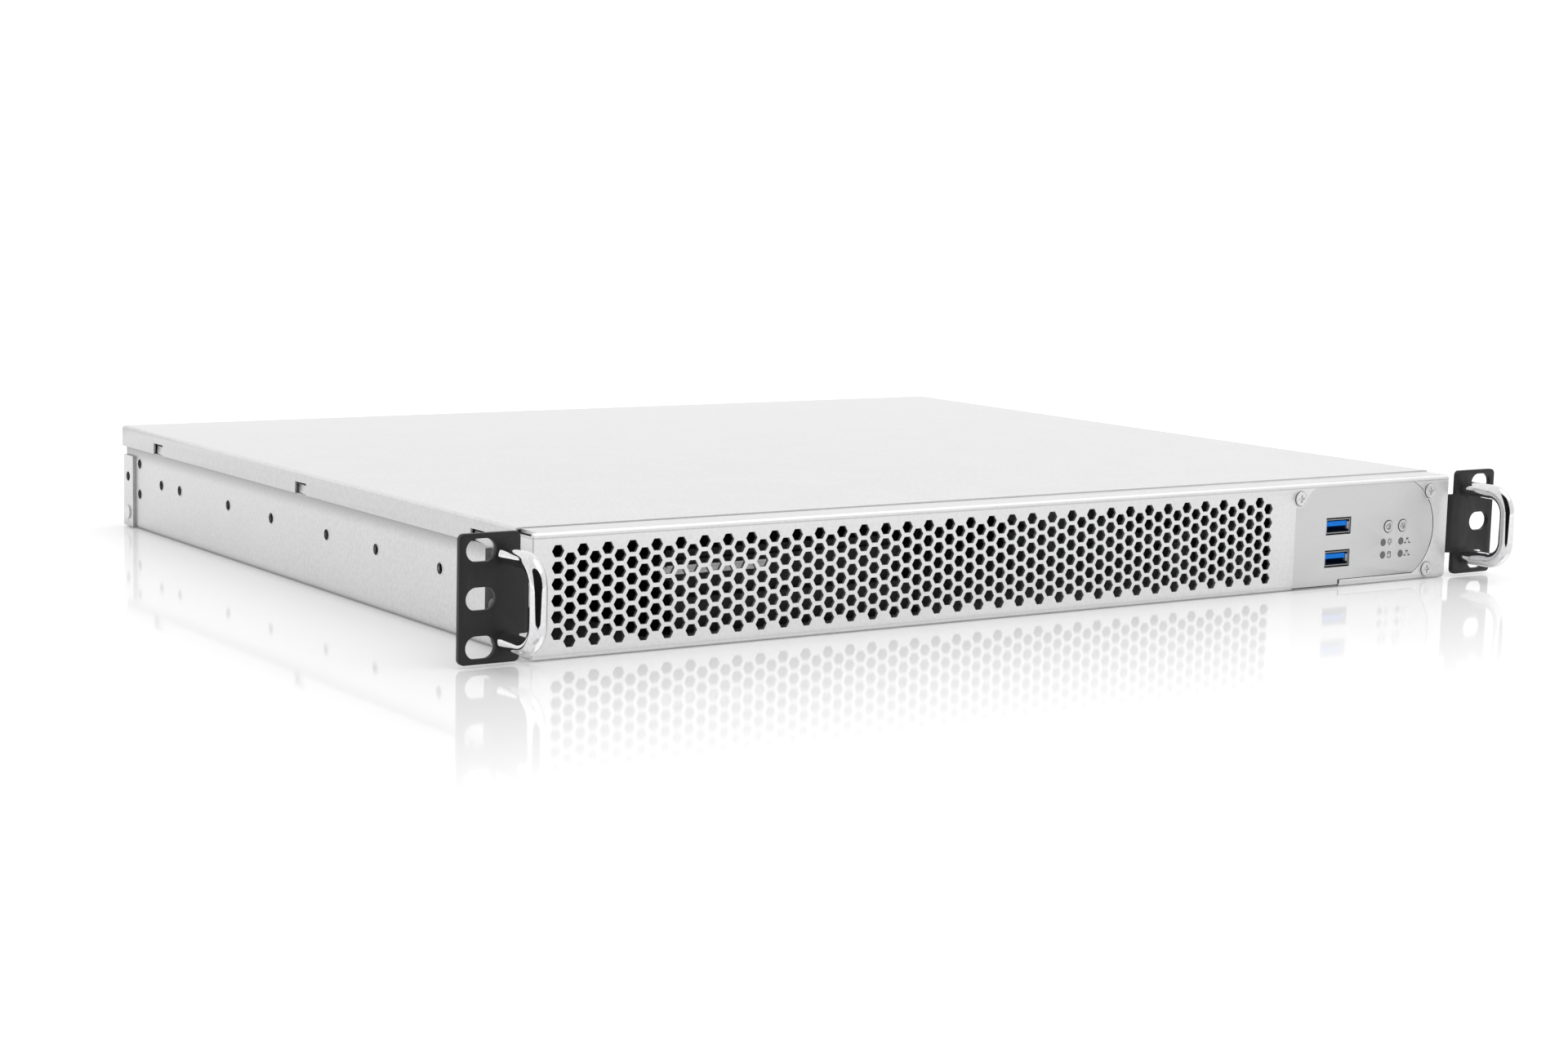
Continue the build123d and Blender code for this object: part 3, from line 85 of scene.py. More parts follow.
# Room: the way to its bright wall, and its light there, at the sides and at the dark wall
ROOM_BACK = (0.50, 0.85, 0.15)
ROOM_BRIGHT = 1.10
ROOM_DIM = 0.94
ROOM_DARK = 0.05

# Where both walls fade in and out, as cosines to the bright wall's middle, and the dark wall's foot
BRIGHT_WALL = (-0.6, 1.0)
DARK_WALL = (-0.72, -0.96)
DARK_WALL_FOOT = (0.10, 0.35)

# Sun: its strength, the way to it and its spread in degrees
SUN_STRENGTH = 0.5
SUN_FROM = (0.5, -0.25, 1.0)
SUN_SPREAD = 50

# Floor: its width, how far it lies under the case, its grey, its roughness and its glow
FLOOR_WIDTH = 30
FLOOR_DROP = 0.05 * MM
FLOOR_GREY = 0.93
FLOOR_ROUGHNESS = 0.6
FLOOR_GLOW = 0.19

# Gloss of the floor: it starts to fade this far inside the case's outline and is gone after its reach
GLOSS_ROUGHNESS = 0.06
GLOSS_SHARE = 0.39
GLOSS_INSET = 0.02
GLOSS_REACH = 0.30

# Small black flags: height and share of half width of their corners, and how near metal must be to see them
FLAG_CORNERS = ((9.5, 0.0), (14, 0.4), (30, 0.8), (60, 1.0), (90, 1.2))
FLAG_SIGHT = 0.045

# Each flag's distance from its handle and its half width, in mm
LEFT_FLAG = (20, 34)
RIGHT_FLAG = (15, 14)

# Edges: how far those of sheets, ears and screws are broken, in mm, and what counts as flat or sharp
SHEET_EDGE = 0.15
COATED_EDGE = 0.35
SCREW_EDGE = 0.25
EDGE_SEGMENTS = 2
SAME_PLACE = 0.002
FLAT_ANGLE = math.radians(1.0)
SHARP_ANGLE = math.radians(40.0)

# Galvanised sheet: turns per metre of its cloud and spangle, and the spangle's tones, gloss and depth
SHEET_METALLIC = 0.9
CLOUD_SCALE = 60
SPANGLE_SCALE = 700
SPANGLE_SHARE = 0.78
SPANGLE_STOPS = (0.36, 0.62)
SPANGLE_BLUE = (0.95, 1.08)
SPANGLE_GLOSS = ((0.35, -0.07), (0.65, 0.09))
SPANGLE_DEPTH = 0.006

# Plain metal: turns per metre of its tone changes, its darkest tone, and where tone and gloss change
BRUSHED_SCALE = 900
BRUSHED_DARK = 0.88
BRUSHED_STOPS = (0.3, 0.7)
BRUSHED_GLOSS = ((0.3, 0.0), (0.75, 0.06))

# Plastic: turns per metre of its grain and cloud, how bright the grain's tops are, and its change of gloss
GRAIN_SCALE = 2600
GRAIN_CLOUD_SCALE = 120
GRAIN_BRIGHTER = 1.25
GRAIN_LIFT = 0.004
GRAIN_STOPS = (0.3, 0.75)
GRAIN_GLOSS = ((0.3, -0.05), (0.7, 0.07))

# Circuit board: turns per metre of its tracks, their width and how bright every other field is
TRACK_SCALE = 160
TRACK_WIDTH = 0.03
TRACK_BRIGHTER = 1.3

# Painted shade along the fold lines of the front panel: their heights above the underside and how dark the
# painted shade is
FOLD_SHADES = ((1.8 * MM, 0.88), (40.6 * MM, 0.58))
FOLD_HALF_WIDTH = 0.3 * MM

# Cover: its skirt starts this far below the top and is painted darker than the flat sheet, as painted shade
SKIRT_DROP = 1.0 * MM
SKIRT_BLEND = 0.2 * MM
SKIRT_SHADE = 0.83

# Tray: a soft band of painted shadow on its walls reaches down from the skirt's foot
SKIRT_FOOT = 34.3 * MM
BAND_REACH = 6.5 * MM
BAND_SHADE = 0.62

# Corners of the sheet metal: how far away a surface shades another, and how dark that gets
CORNER_REACH = 5 * MM
CORNER_SAMPLES = 8
CORNER_STOPS = (0.35, 0.9)
CORNER_SHADE = 0.65
FRONT_CORNER_SHADE = 0.88

# Printed lines: their width and rise in mm, and the corners of each side of such a line's box
MARK_LINE = 0.26
MARK_RISE = 0.03
BOX_SIDES = ((0, 1, 3, 2), (4, 6, 7, 5), (0, 4, 5, 1), (2, 3, 7, 6), (0, 2, 6, 4), (1, 5, 7, 3))
ARC_STEPS = 14

# Signs beside the lights, in mm from each sign's middle; a line is its two ends and its width
LIGHT_RADIUS = 1.4
SIGN_OFFSET = 3.6
LAMP_LIFT = 0.3
LAMP_BULB = 0.75
LAMP_BULB_ARC = (-60, 240)
LAMP_FEET = (((-0.3, -1.0), (0.3, -1.0), MARK_LINE), ((-0.3, -1.35), (0.3, -1.35), MARK_LINE))
LAMP_RAY_ENDS = (1.1, 1.5)
LAMP_RAY_ARC = (-30, 210)
LAMP_RAY_GAPS = 6
LAMP_RAY_LINE = 0.14
DISK_RADIUS = 0.8
DISK_HALF = 0.9
DISK_SQUASH = 0.42
NETWORK_TOP = ((-0.35, 0.95), (0.35, 0.95), 0.55)
NETWORK_LEG = ((0.2, 0.6), (1.1, -0.45), 0.13)
NETWORK_FOOT = ((0.85, -0.8), (1.5, -0.8), 0.5)

# Signs on the buttons, in mm: how deep they lie, their line, and the sizes of the two signs
BUTTON_FLOOR = 0.31
BUTTON_LINE = 0.22
START_RADIUS = 0.85
START_ARC = (-235, 55)
START_DROP = 0.1
START_BAR = (0.1, 1.0)
RESET_HALF = 0.85
RESET_FOOT = 0.6
RESET_TOP = 0.9

# Rims of the drawn side holes: a ring's facets, and in mm its wire and the holes' places behind the front
RING_SIDES = 8
RING_ROUNDS = 28
RIM_WIRE = 0.22
RIM_FLAT = 0.7
HOLE_RADIUS = 2.0
HOLES_START = 67.1
HOLE_PAIRS = 3
HOLE_PITCH = 49.5
HOLE_PAIR_STEP = 90.6
LAST_HOLE = 317.3
HOLE_HEIGHT = 21.6
REAR_HOLES = 341.3
REAR_HOLE_STEP = 6.45

# Pressed rings round the screws of the control field, in mm
SCREW_PLACES = ((129.9, 36.6), (202.5, 36.3), (202.5, 4.2))
DIMPLE_RADIUS = 3.2
DIMPLE_WIRE = 0.3
DIMPLE_FLAT = 0.5
DIMPLE_ROUNDS = 36

# Painted shade in the seam of the control field: three points of its round right edge, its gap, the painted
# shadow lines along its foot and the shade's depths, in mm
FIELD_EDGE = ((194.7, 3.1), (205.8, 21.2), (193.7, 40.3))
FIELD_STEPS = 24
FIELD_GAP = 0.4
FIELD_FOOT_SHADOWS = (((127.8, 0.9), (152.5, 0.9), 0.3), ((153.5, 3.1), (194.4, 3.1), 0.22))
SEAM_CLEAR = 0.03
SEAM_DEPTHS = (0.05, 0.95)

# Black rings of painted shade in the holes of the two buttons, in mm; they are as deep as the seam
BUTTON_HOLE = 2.6
HOLE_SHADE_WALL = 0.26
HOLE_SHADE_CLEAR = 0.01
HOLE_SHADE_STEPS = 40
HOLE_SHADE_SAME_PLACE = 0.001

# Leaf springs at the inner side walls of the sockets, in mm, and the bow along their depths
SOCKET_WALL = 0.42
SOCKET_HEIGHT = 5.7
SPRING_DROP = 1.4
SPRING_REACH = 0.45
SPRING_DEPTHS = (0.6, 1.2, 1.9, 2.6, 3.2)
SPRING_BOW = (0.0, 0.55, 1.0, 0.55, 0.0)
SPRING_LEAF = 0.12

# Folded strip on the drive's front, in mm
STRIP_RIGHT = -106.0
STRIP_LOW = 21.2
STRIP_HIGH = 24.6
STRIP_LIP = 2.5
STRIP_SHEET = 0.5


# Node helpers
def calculate(tree, operation, first, second=None):
    """The result of a math node whose inputs are numbers or other nodes' outputs."""
    node = tree.nodes.new("ShaderNodeMath")
    node.operation = operation
    for place, value in enumerate((first, second)):
        if isinstance(value, bpy.types.NodeSocket):
            tree.links.new(value, node.inputs[place])
        elif value is not None:
            node.inputs[place].default_value = value
    return node.outputs[0]


def map_range(tree, value, reach=(0.0, 1.0), result=(0.0, 1.0), smooth=True):
    """A number that goes softly or evenly from one result to the other as a value goes along its reach."""
    node = tree.nodes.new("ShaderNodeMapRange")
    node.interpolation_type = "SMOOTHSTEP" if smooth else "LINEAR"
    for name, number in zip(("From Min", "From Max", "To Min", "To Max"), (*reach, *result)):
        node.inputs[name].default_value = number
    tree.links.new(value, node.inputs["Value"])
    return node.outputs["Result"]


def split_place(tree, place):
    """A place's X, Y and Z outputs."""
    split = tree.nodes.new("ShaderNodeSeparateXYZ")
    tree.links.new(place, split.inputs["Vector"])
    return split.outputs


def own_place(tree):
    """A piece's own coordinates, which start at the underside."""
    return tree.nodes.new("ShaderNodeTexCoord").outputs["Object"]


def add_noise(tree, scale, detail):
    """Noise in the piece's own coordinates; scale is turns per metre."""
    noise = tree.nodes.new("ShaderNodeTexNoise")
    noise.inputs["Scale"].default_value = scale
    noise.inputs["Detail"].default_value = detail
    tree.links.new(own_place(tree), noise.inputs["Vector"])
    return noise.outputs["Fac"]


def add_ramp(tree, factor, stops):
    """A colour ramp through (place, grey or colour) stops."""
    ramp = tree.nodes.new("ShaderNodeValToRGB")
    elements = ramp.color_ramp.elements
    while len(elements) < len(stops):
        elements.new(0.5)
    for element, (place, value) in zip(elements, stops):
        element.position = place
        colour = value if hasattr(value, "__len__") else (value, value, value)
        element.color = (*colour, 1)
    tree.links.new(factor, ramp.inputs["Fac"])
    return ramp.outputs["Color"]


def multiply(tree, colour, tone):
    """A colour times a tone."""
    mix = tree.nodes.new("ShaderNodeMix")
    mix.data_type = "RGBA"
    mix.blend_type = "MULTIPLY"
    mix.inputs["Factor"].default_value = 1.0
    tree.links.new(colour, mix.inputs["A"])
    tree.links.new(tone, mix.inputs["B"])
    return mix.outputs["Result"]


def mix_shaders(tree, factor, first, second):
    """Shows the first shader where the factor is 0 and the second where it is 1."""
    mix = tree.nodes.new("ShaderNodeMixShader")
    tree.links.new(factor, mix.inputs["Fac"])
    tree.links.new(first.outputs["BSDF"], mix.inputs[1])
    tree.links.new(second.outputs["BSDF"], mix.inputs[2])
    tree.links.new(mix.outputs["Shader"], tree.nodes["Material Output"].inputs["Surface"])


def add_bump(tree, shader, height, depth):
    """Bump of a real depth in mm."""
    bump = tree.nodes.new("ShaderNodeBump")
    bump.inputs["Strength"].default_value = 1.0
    bump.inputs["Distance"].default_value = depth * MM
    tree.links.new(height, bump.inputs["Height"])
    tree.links.new(bump.outputs["Normal"], shader.inputs["Normal"])


# Materials
def start_material(name, colour, roughness, metallic=0.0):
    """A new material, its node tree and its principled shader."""
    material = bpy.data.materials.new(name)
    material.use_nodes = True
    shader = material.node_tree.nodes["Principled BSDF"]
    shader.inputs["Base Color"].default_value = (*colour, 1)
    shader.inputs["Roughness"].default_value = roughness
    shader.inputs["Metallic"].default_value = metallic
    return material, material.node_tree, shader


def painted_fold_shade(tree, colour, fold_shades):
    """Painted shade: darkens a colour along level lines at some heights above the underside, where a sheet
    is folded.
    """
    share = calculate(tree, "DIVIDE", split_place(tree, own_place(tree))["Z"], CASE_TOP)
    half = FOLD_HALF_WIDTH / CASE_TOP
    stops = [(0.0, 1.0)]
    for height, shade in fold_shades:
        middle = height / CASE_TOP
        stops += [(middle - half, 1.0), (middle, shade), (middle + half, 1.0)]
    return multiply(tree, colour, add_ramp(tree, share, stops))


def shade_by_height(tree, colour, heights, shades):
    """Painted shade: darkens a colour softly from one height above the underside to another."""
    share = map_range(tree, split_place(tree, own_place(tree))["Z"], heights)
    return multiply(tree, colour, add_ramp(tree, share, [(0.0, shades[0]), (1.0, shades[1])]))


def shade_corners(tree, colour, shade):
    """Darkens a colour in tight corners, where little light comes in under a skirt or beside a rim."""
    corner = tree.nodes.new("ShaderNodeAmbientOcclusion")
    corner.samples = CORNER_SAMPLES
    corner.inputs["Distance"].default_value = CORNER_REACH
    tone = add_ramp(tree, corner.outputs["AO"], list(zip(CORNER_STOPS, (shade, 1.0))))
    return multiply(tree, colour, tone)


def spangled_steel(name, grey, spread, roughness, fold_shades=(), shading=None, corners=CORNER_SHADE):
    """Galvanised sheet: fine spangle in tone and gloss over a faint larger cloud, with painted shade in
    corners and, where asked, along folds and by height.
    """
    material, tree, shader = start_material(name, (grey, grey, grey), roughness, SHEET_METALLIC)
    cloud = add_noise(tree, CLOUD_SCALE, detail=4)
    spangle = add_noise(tree, SPANGLE_SCALE, detail=3)
    mix = tree.nodes.new("ShaderNodeMix")
    mix.inputs["Factor"].default_value = SPANGLE_SHARE
    tree.links.new(cloud, mix.inputs["A"])
    tree.links.new(spangle, mix.inputs["B"])
    blended = mix.outputs["Result"]
    dark = (grey - spread, grey - spread, grey - SPANGLE_BLUE[0] * spread)
    light = (grey + spread, grey + spread, grey + SPANGLE_BLUE[1] * spread)
    colour = add_ramp(tree, blended, list(zip(SPANGLE_STOPS, (dark, light))))
    if fold_shades:
        colour = painted_fold_shade(tree, colour, fold_shades)
    if shading:
        colour = shade_by_height(tree, colour, *shading)
    colour = shade_corners(tree, colour, corners)
    tree.links.new(colour, shader.inputs["Base Color"])
    gloss = add_ramp(tree, blended, [(place, roughness + change) for place, change in SPANGLE_GLOSS])
    tree.links.new(gloss, shader.inputs["Roughness"])
    add_bump(tree, shader, spangle, SPANGLE_DEPTH)
    return material


def brushed_metal(name, colour, roughness, metallic=1.0):
    """Plain bright metal with faint tone changes."""
    material, tree, shader = start_material(name, colour, roughness, metallic)
    grain = add_noise(tree, BRUSHED_SCALE, detail=2)
    dark = tuple(BRUSHED_DARK * part for part in colour)
    tone = add_ramp(tree, grain, list(zip(BRUSHED_STOPS, (dark, colour))))
    tree.links.new(tone, shader.inputs["Base Color"])
    gloss = add_ramp(tree, grain, [(place, roughness + change) for place, change in BRUSHED_GLOSS])
    tree.links.new(gloss, shader.inputs["Roughness"])
    return material


def grained_plastic(name, colour, roughness, depth=0.01, specular=0.5):
    """Moulded plastic or coating with a fine grain."""
    material, tree, shader = start_material(name, colour, roughness)
    shader.inputs["Specular IOR Level"].default_value = specular
    grain = add_noise(tree, GRAIN_SCALE, detail=2)
    cloud = add_noise(tree, GRAIN_CLOUD_SCALE, detail=3)
    light = tuple(GRAIN_BRIGHTER * part + GRAIN_LIFT for part in colour)
    tone = add_ramp(tree, grain, list(zip(GRAIN_STOPS, (colour, light))))
    tree.links.new(tone, shader.inputs["Base Color"])
    gloss = add_ramp(tree, cloud, [(place, roughness + change) for place, change in GRAIN_GLOSS])
    tree.links.new(gloss, shader.inputs["Roughness"])
    add_bump(tree, shader, grain, depth)
    return material


def fine_lines(name, colour, line_colour, roughness):
    """Circuit board: solder mask with fine tracks under it."""
    material, tree, shader = start_material(name, colour, roughness)
    bricks = tree.nodes.new("ShaderNodeTexBrick")
    bricks.inputs["Scale"].default_value = TRACK_SCALE
    bricks.inputs["Color1"].default_value = (*colour, 1)
    bricks.inputs["Color2"].default_value = (*(TRACK_BRIGHTER * part for part in colour), 1)
    bricks.inputs["Mortar"].default_value = (*line_colour, 1)
    bricks.inputs["Mortar Size"].default_value = TRACK_WIDTH
    tree.links.new(own_place(tree), bricks.inputs["Vector"])
    tree.links.new(bricks.outputs["Color"], shader.inputs["Base Color"])
    return material


MATERIALS = {
    "galvanised_steel": spangled_steel("galvanised_steel", 0.65, 0.045, 0.36),
    "front_steel": spangled_steel("front_steel", 0.72, 0.035, 0.40, FOLD_SHADES, corners=FRONT_CORNER_SHADE),
    "control_field": spangled_steel("control_field", 0.63, 0.02, 0.50, corners=FRONT_CORNER_SHADE),
    "black_coat": grained_plastic("black_coat", (0.014, 0.014, 0.015), 0.5, depth=0.02, specular=0.3),
    "chrome": brushed_metal("chrome", (0.78, 0.78, 0.79), 0.04),
    "zinc_screw": brushed_metal("zinc_screw", (0.72, 0.72, 0.72), 0.28),
    "black_screw": grained_plastic("black_screw", (0.02, 0.02, 0.02), 0.35),
    "socket_steel": brushed_metal("socket_steel", (0.30, 0.30, 0.30), 0.3),
    "blue_plastic": grained_plastic("blue_plastic", (0.0, 0.17, 0.66), 0.35, specular=0.12),
    "button_metal": brushed_metal("button_metal", (0.62, 0.62, 0.62), 0.3),
    "light_grey_plastic": grained_plastic("light_grey_plastic", (0.13, 0.13, 0.13), 0.5, specular=0.3),
    "black_plastic": grained_plastic("black_plastic", (0.012, 0.012, 0.012), 0.5),
    "board_green": fine_lines("board_green", (0.01, 0.09, 0.035), (0.03, 0.16, 0.07), 0.4),
    "aluminium": brushed_metal("aluminium", (0.60, 0.60, 0.61), 0.3),
    "brass": brushed_metal("brass", (0.62, 0.45, 0.20), 0.28),
    "cable_black": grained_plastic("cable_black", (0.01, 0.01, 0.01), 0.5),
    "cable_grey": grained_plastic("cable_grey", (0.22, 0.22, 0.22), 0.5),
    # The drive's casing is black, and is painted darker still as painted shade inside the case
    "drive_case": brushed_metal("drive_case", (0.02, 0.02, 0.02), 0.5, metallic=0.3),
}
FLAG_BLACK = grained_plastic("flag_black", (0.01, 0.01, 0.01), 0.9, specular=0.0)
# Steel of the inner brackets, painted nearly black as painted shade inside the case
SHADED_STEEL = spangled_steel("shaded_steel", 0.05, 0.01, 0.5)
# Painted light and shade on the cover: a lighter copy of the galvanised sheet for its top, and painted
# shade on its skirt
SKIRT_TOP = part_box("top_cover")[1][2] - SKIRT_DROP
SKIRT_SHADING = ((SKIRT_TOP - SKIRT_BLEND, SKIRT_TOP + SKIRT_BLEND), (SKIRT_SHADE, 1.0))
LIT_COVER_SHADED_SKIRT = spangled_steel("lit_cover_shaded_skirt", 0.71, 0.045, 0.36, shading=SKIRT_SHADING)
# Painted shade on the tray: a darker copy of the galvanised sheet for its side walls, and a painted shadow
# band under the cover's skirt
BAND_SHADING = ((SKIRT_FOOT - BAND_REACH, SKIRT_FOOT), (1.0, BAND_SHADE))
SHADED_TRAY_STEEL = spangled_steel("shaded_tray_steel", 0.63, 0.045, 0.36, shading=BAND_SHADING)
# Near black for the painted shade in the control field's seam and the button holes
SEAM_SHADE = grained_plastic("seam_shade", (0.006, 0.006, 0.006), 0.8, specular=0.1)
PRINT = grained_plastic("printed_grey", (0.06, 0.06, 0.06), 0.6, specular=0.2)
PRESSED = spangled_steel("pressed_steel", 0.66, 0.02, 0.30)
PORT_BLUE = grained_plastic("port_blue", (0.008, 0.05, 0.17), 0.4, specular=0.3)

# Nodes that don't show their slot's own material
OWN_MATERIALS = {
    "drive_bracket": SHADED_STEEL,
    "control_bracket": SHADED_STEEL,
    "top_cover": LIT_COVER_SHADED_SKIRT,
    "chassis_tray": SHADED_TRAY_STEEL,
    "serial_port": PORT_BLUE,
}


# CAD nodes
def dress_nodes():
    """Gives every CAD node its own material or that of its slot."""
    for name, piece in NODES.items():
        piece.data.materials.clear()
        piece.data.materials.append(OWN_MATERIALS.get(name, MATERIALS[SLOT_OF[name]]))


def softened_copy(name, edge):
    """A copy of a CAD node with its flat faces joined and its sharp edges broken, shown in its place."""
    mesh = NODES[name].data.copy()
    shape = bmesh.new()
    shape.from_mesh(mesh)
    bmesh.ops.remove_doubles(shape, verts=shape.verts, dist=SAME_PLACE * MM)
    bmesh.ops.dissolve_limit(shape, angle_limit=FLAT_ANGLE, verts=shape.verts, edges=shape.edges)
    shape.to_mesh(mesh)
    shape.free()
    copy = bpy.data.objects.new(name + "_finished", mesh)
    bpy.context.scene.collection.objects.link(copy)
    for face in mesh.polygons:
        face.use_smooth = True
    bevel = copy.modifiers.new("Broken edges", "BEVEL")
    bevel.width = edge * MM
    bevel.segments = EDGE_SEGMENTS
    bevel.limit_method = "ANGLE"
    bevel.angle_limit = SHARP_ANGLE
    bevel.harden_normals = True
    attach(copy, BODY_OF[name])
    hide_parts(name)


def middle_of(node):
    """X and Z, in mm, of a node's middle."""
    low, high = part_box(node)
    return (low[0] + high[0]) / 2 / MM, (low[2] + high[2]) / 2 / MM


def light_centres():
    """X and Z of the four lights, in mm, from the corners of their common box."""
    low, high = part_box("status_lights")
    xs = (low[0] / MM + LIGHT_RADIUS, high[0] / MM - LIGHT_RADIUS)
    zs = (low[2] / MM + LIGHT_RADIUS, high[2] / MM - LIGHT_RADIUS)
    return xs, zs


# Mesh helpers
def add_piece(name, shape, body, material):
    """Puts a finished mesh into the scene as a piece that rides on a body."""
    mesh = bpy.data.meshes.new(name)
    shape.to_mesh(mesh)
    shape.free()
    mesh.materials.append(material)
    piece = bpy.data.objects.new(name, mesh)
    bpy.context.scene.collection.objects.link(piece)
    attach(piece, body)


def front_place(point, depth):
    """A point (x, z) of the front at a depth, all in mm."""
    return point[0] * MM, FRONT_Y + depth * MM, point[1] * MM


def plan_place(point, height):
    """A point (x, depth) of the plan at a height, all in mm."""
    return point[0] * MM, FRONT_Y + point[1] * MM, height * MM


def side_place(point, x):
    """A point (depth, z) of the side view at an x, all in mm."""
    return x * MM, FRONT_Y + point[0] * MM, point[1] * MM


def arc(x, z, radius, start, end, steps=ARC_STEPS, squash=1.0):
    """Points along an arc, angles in degrees from the right, anticlockwise seen from the front."""
    points = []
    for step in range(steps + 1):
        angle = math.radians(start + (end - start) * step / steps)
        points.append((x + radius * math.cos(angle), z + squash * radius * math.sin(angle)))
    return points


def add_stroke(shape, points, depth, width=MARK_LINE):
    """A thin raised line on a front face, through (x, z) points in mm, starting at a depth in mm."""
    half = width / 2
    for (x0, z0), (x1, z1) in zip(points, points[1:]):
        along = Vector((x1 - x0, 0, z1 - z0)).normalized()
        across = Vector((-along.z, 0, along.x)) * half
        along *= half
        corners = []
        for level in (depth, depth - MARK_RISE):
            for end, way in (((x0, z0), -1), ((x1, z1), 1)):
                for side in (-1, 1):
                    spot = Vector((end[0], 0, end[1])) + way * along + side * across
                    corners.append(shape.verts.new(front_place((spot.x, spot.z), level)))
        for side in BOX_SIDES:
            shape.faces.new([corners[corner] for corner in side])


def add_line(shape, middle, line, side=1):
    """One straight line of a sign: its ends from the sign's middle, mirrored by side, and its width."""
    *ends, width = line
    add_stroke(shape, [(middle[0] + side * x, middle[1] + z) for x, z in ends], 0, width)


def add_ring(shape, centre, axis, radius, wire, flat, rounds=RING_ROUNDS):
    """A ring of round wire, sizes in mm, squashed along its axis."""
    turn = Vector((0, 0, 1)).rotation_difference(Vector(axis)).to_matrix()
    loops = []
    for step in range(rounds):
        angle = 2 * math.pi * step / rounds
        loop = []
        for side in range(RING_SIDES):
            around = 2 * math.pi * side / RING_SIDES
            reach = radius * MM + wire * MM * math.cos(around)
            rise = flat * (wire * MM) * math.sin(around)
            spot = Vector((reach * math.cos(angle), reach * math.sin(angle), rise))
            loop.append(shape.verts.new(Vector(centre) + turn @ spot))
        loops.append(loop)
    for step in range(rounds):
        here, there = loops[step], loops[(step + 1) % rounds]
        for side in range(RING_SIDES):
            after = (side + 1) % RING_SIDES
            face = shape.faces.new((here[side], there[side], there[after], here[after]))
            face.smooth = True


def add_prism(shape, outline, low, high, place):
    """A closed outline drawn out from low to high; place turns a point and a level to metres."""
    ends = [[shape.verts.new(place(point, level)) for point in outline] for level in (low, high)]
    shape.faces.new(ends[0])
    shape.faces.new(ends[1][::-1])
    for near in range(len(outline)):
        after = (near + 1) % len(outline)
        shape.faces.new((ends[0][after], ends[0][near], ends[1][near], ends[1][after]))
    bmesh.ops.recalc_face_normals(shape, faces=shape.faces)


# Marks
def make_light_marks():
    """Plain signs beside the lights: a lamp, a disk and two small networks."""
    (left, right), (low, high) = light_centres()
    lamp = bmesh.new()
    x, z = left + SIGN_OFFSET, high + LAMP_LIFT
    add_stroke(lamp, arc(x, z, LAMP_BULB, *LAMP_BULB_ARC), 0)
    for foot in LAMP_FEET:
        add_line(lamp, (x, z), foot)
    inner, outer = (arc(x, z, reach, *LAMP_RAY_ARC, steps=LAMP_RAY_GAPS) for reach in LAMP_RAY_ENDS)
    for ray in zip(inner, outer):
        add_stroke(lamp, ray, 0, LAMP_RAY_LINE)
    add_piece("lamp_mark", lamp, CHASSIS, PRINT)
    disk = bmesh.new()
    x, z = left + SIGN_OFFSET, low
    add_stroke(disk, arc(x, z + DISK_HALF, DISK_RADIUS, 0, 360, squash=DISK_SQUASH), 0)
    foot = arc(x, z - DISK_HALF, DISK_RADIUS, 180, 360, squash=DISK_SQUASH)
    left_top, right_top = ((x + side * DISK_RADIUS, z + DISK_HALF) for side in (-1, 1))
    add_stroke(disk, [left_top] + foot + [right_top], 0)
    add_piece("disk_mark", disk, CHASSIS, PRINT)
    for z, name in ((high, "upper_network_mark"), (low, "lower_network_mark")):
        network = bmesh.new()
        middle = (right + SIGN_OFFSET, z)
        add_line(network, middle, NETWORK_TOP)
        for side in (-1, 1):
            add_line(network, middle, NETWORK_LEG, side)
            add_line(network, middle, NETWORK_FOOT, side)
        add_piece(name, network, CHASSIS, PRINT)


def make_button_marks():
    """A start sign and a reset triangle sunk in the two buttons."""
    x, z = middle_of("power_button")
    start = bmesh.new()
    add_stroke(start, arc(x, z - START_DROP, START_RADIUS, *START_ARC), BUTTON_FLOOR, BUTTON_LINE)
    add_stroke(start, [(x, z + end) for end in START_BAR], BUTTON_FLOOR, BUTTON_LINE)
    add_piece("start_mark", start, BODY_OF["power_button"], PRINT)
    x, z = middle_of("reset_button")
    reset = bmesh.new()
    left, right = ((x + side * RESET_HALF, z - RESET_FOOT) for side in (-1, 1))
    add_stroke(reset, [left, right, (x, z + RESET_TOP), left], BUTTON_FLOOR, BUTTON_LINE)
    add_piece("reset_mark", reset, BODY_OF["reset_button"], PRINT)


# Pressed rims
def make_hole_rims():
    """Slightly raised rims where the side walls' threaded holes were drawn through the sheet."""
    low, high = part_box("chassis_tray")
    pairs = [(pair, hole) for pair in range(HOLE_PAIRS) for hole in (0, 1)]
    depths = [HOLES_START + pair * HOLE_PAIR_STEP + hole * HOLE_PITCH for pair, hole in pairs]
    places = [(depth, HOLE_HEIGHT) for depth in depths + [LAST_HOLE]]
    places += [(REAR_HOLES, HOLE_HEIGHT + step * REAR_HOLE_STEP) for step in (-1, 1)]
    rims = bmesh.new()
    for wall_x, side in ((low[0], -1), (high[0], 1)):
        for depth, height in places:
            centre = (wall_x, FRONT_Y + depth * MM, height * MM)
            add_ring(rims, centre, (side, 0, 0), HOLE_RADIUS + RIM_WIRE, RIM_WIRE, RIM_FLAT)
    add_piece("hole_rims", rims, CHASSIS, PRESSED)


def make_screw_dimples():
    """Shallow pressed rings round the three screws of the control field."""
    dimples = bmesh.new()
    for place in SCREW_PLACES:
        centre = front_place(place, 0)
        add_ring(dimples, centre, (0, -1, 0), DIMPLE_RADIUS, DIMPLE_WIRE, DIMPLE_FLAT, DIMPLE_ROUNDS)
    add_piece("screw_dimples", dimples, CHASSIS, PRESSED)


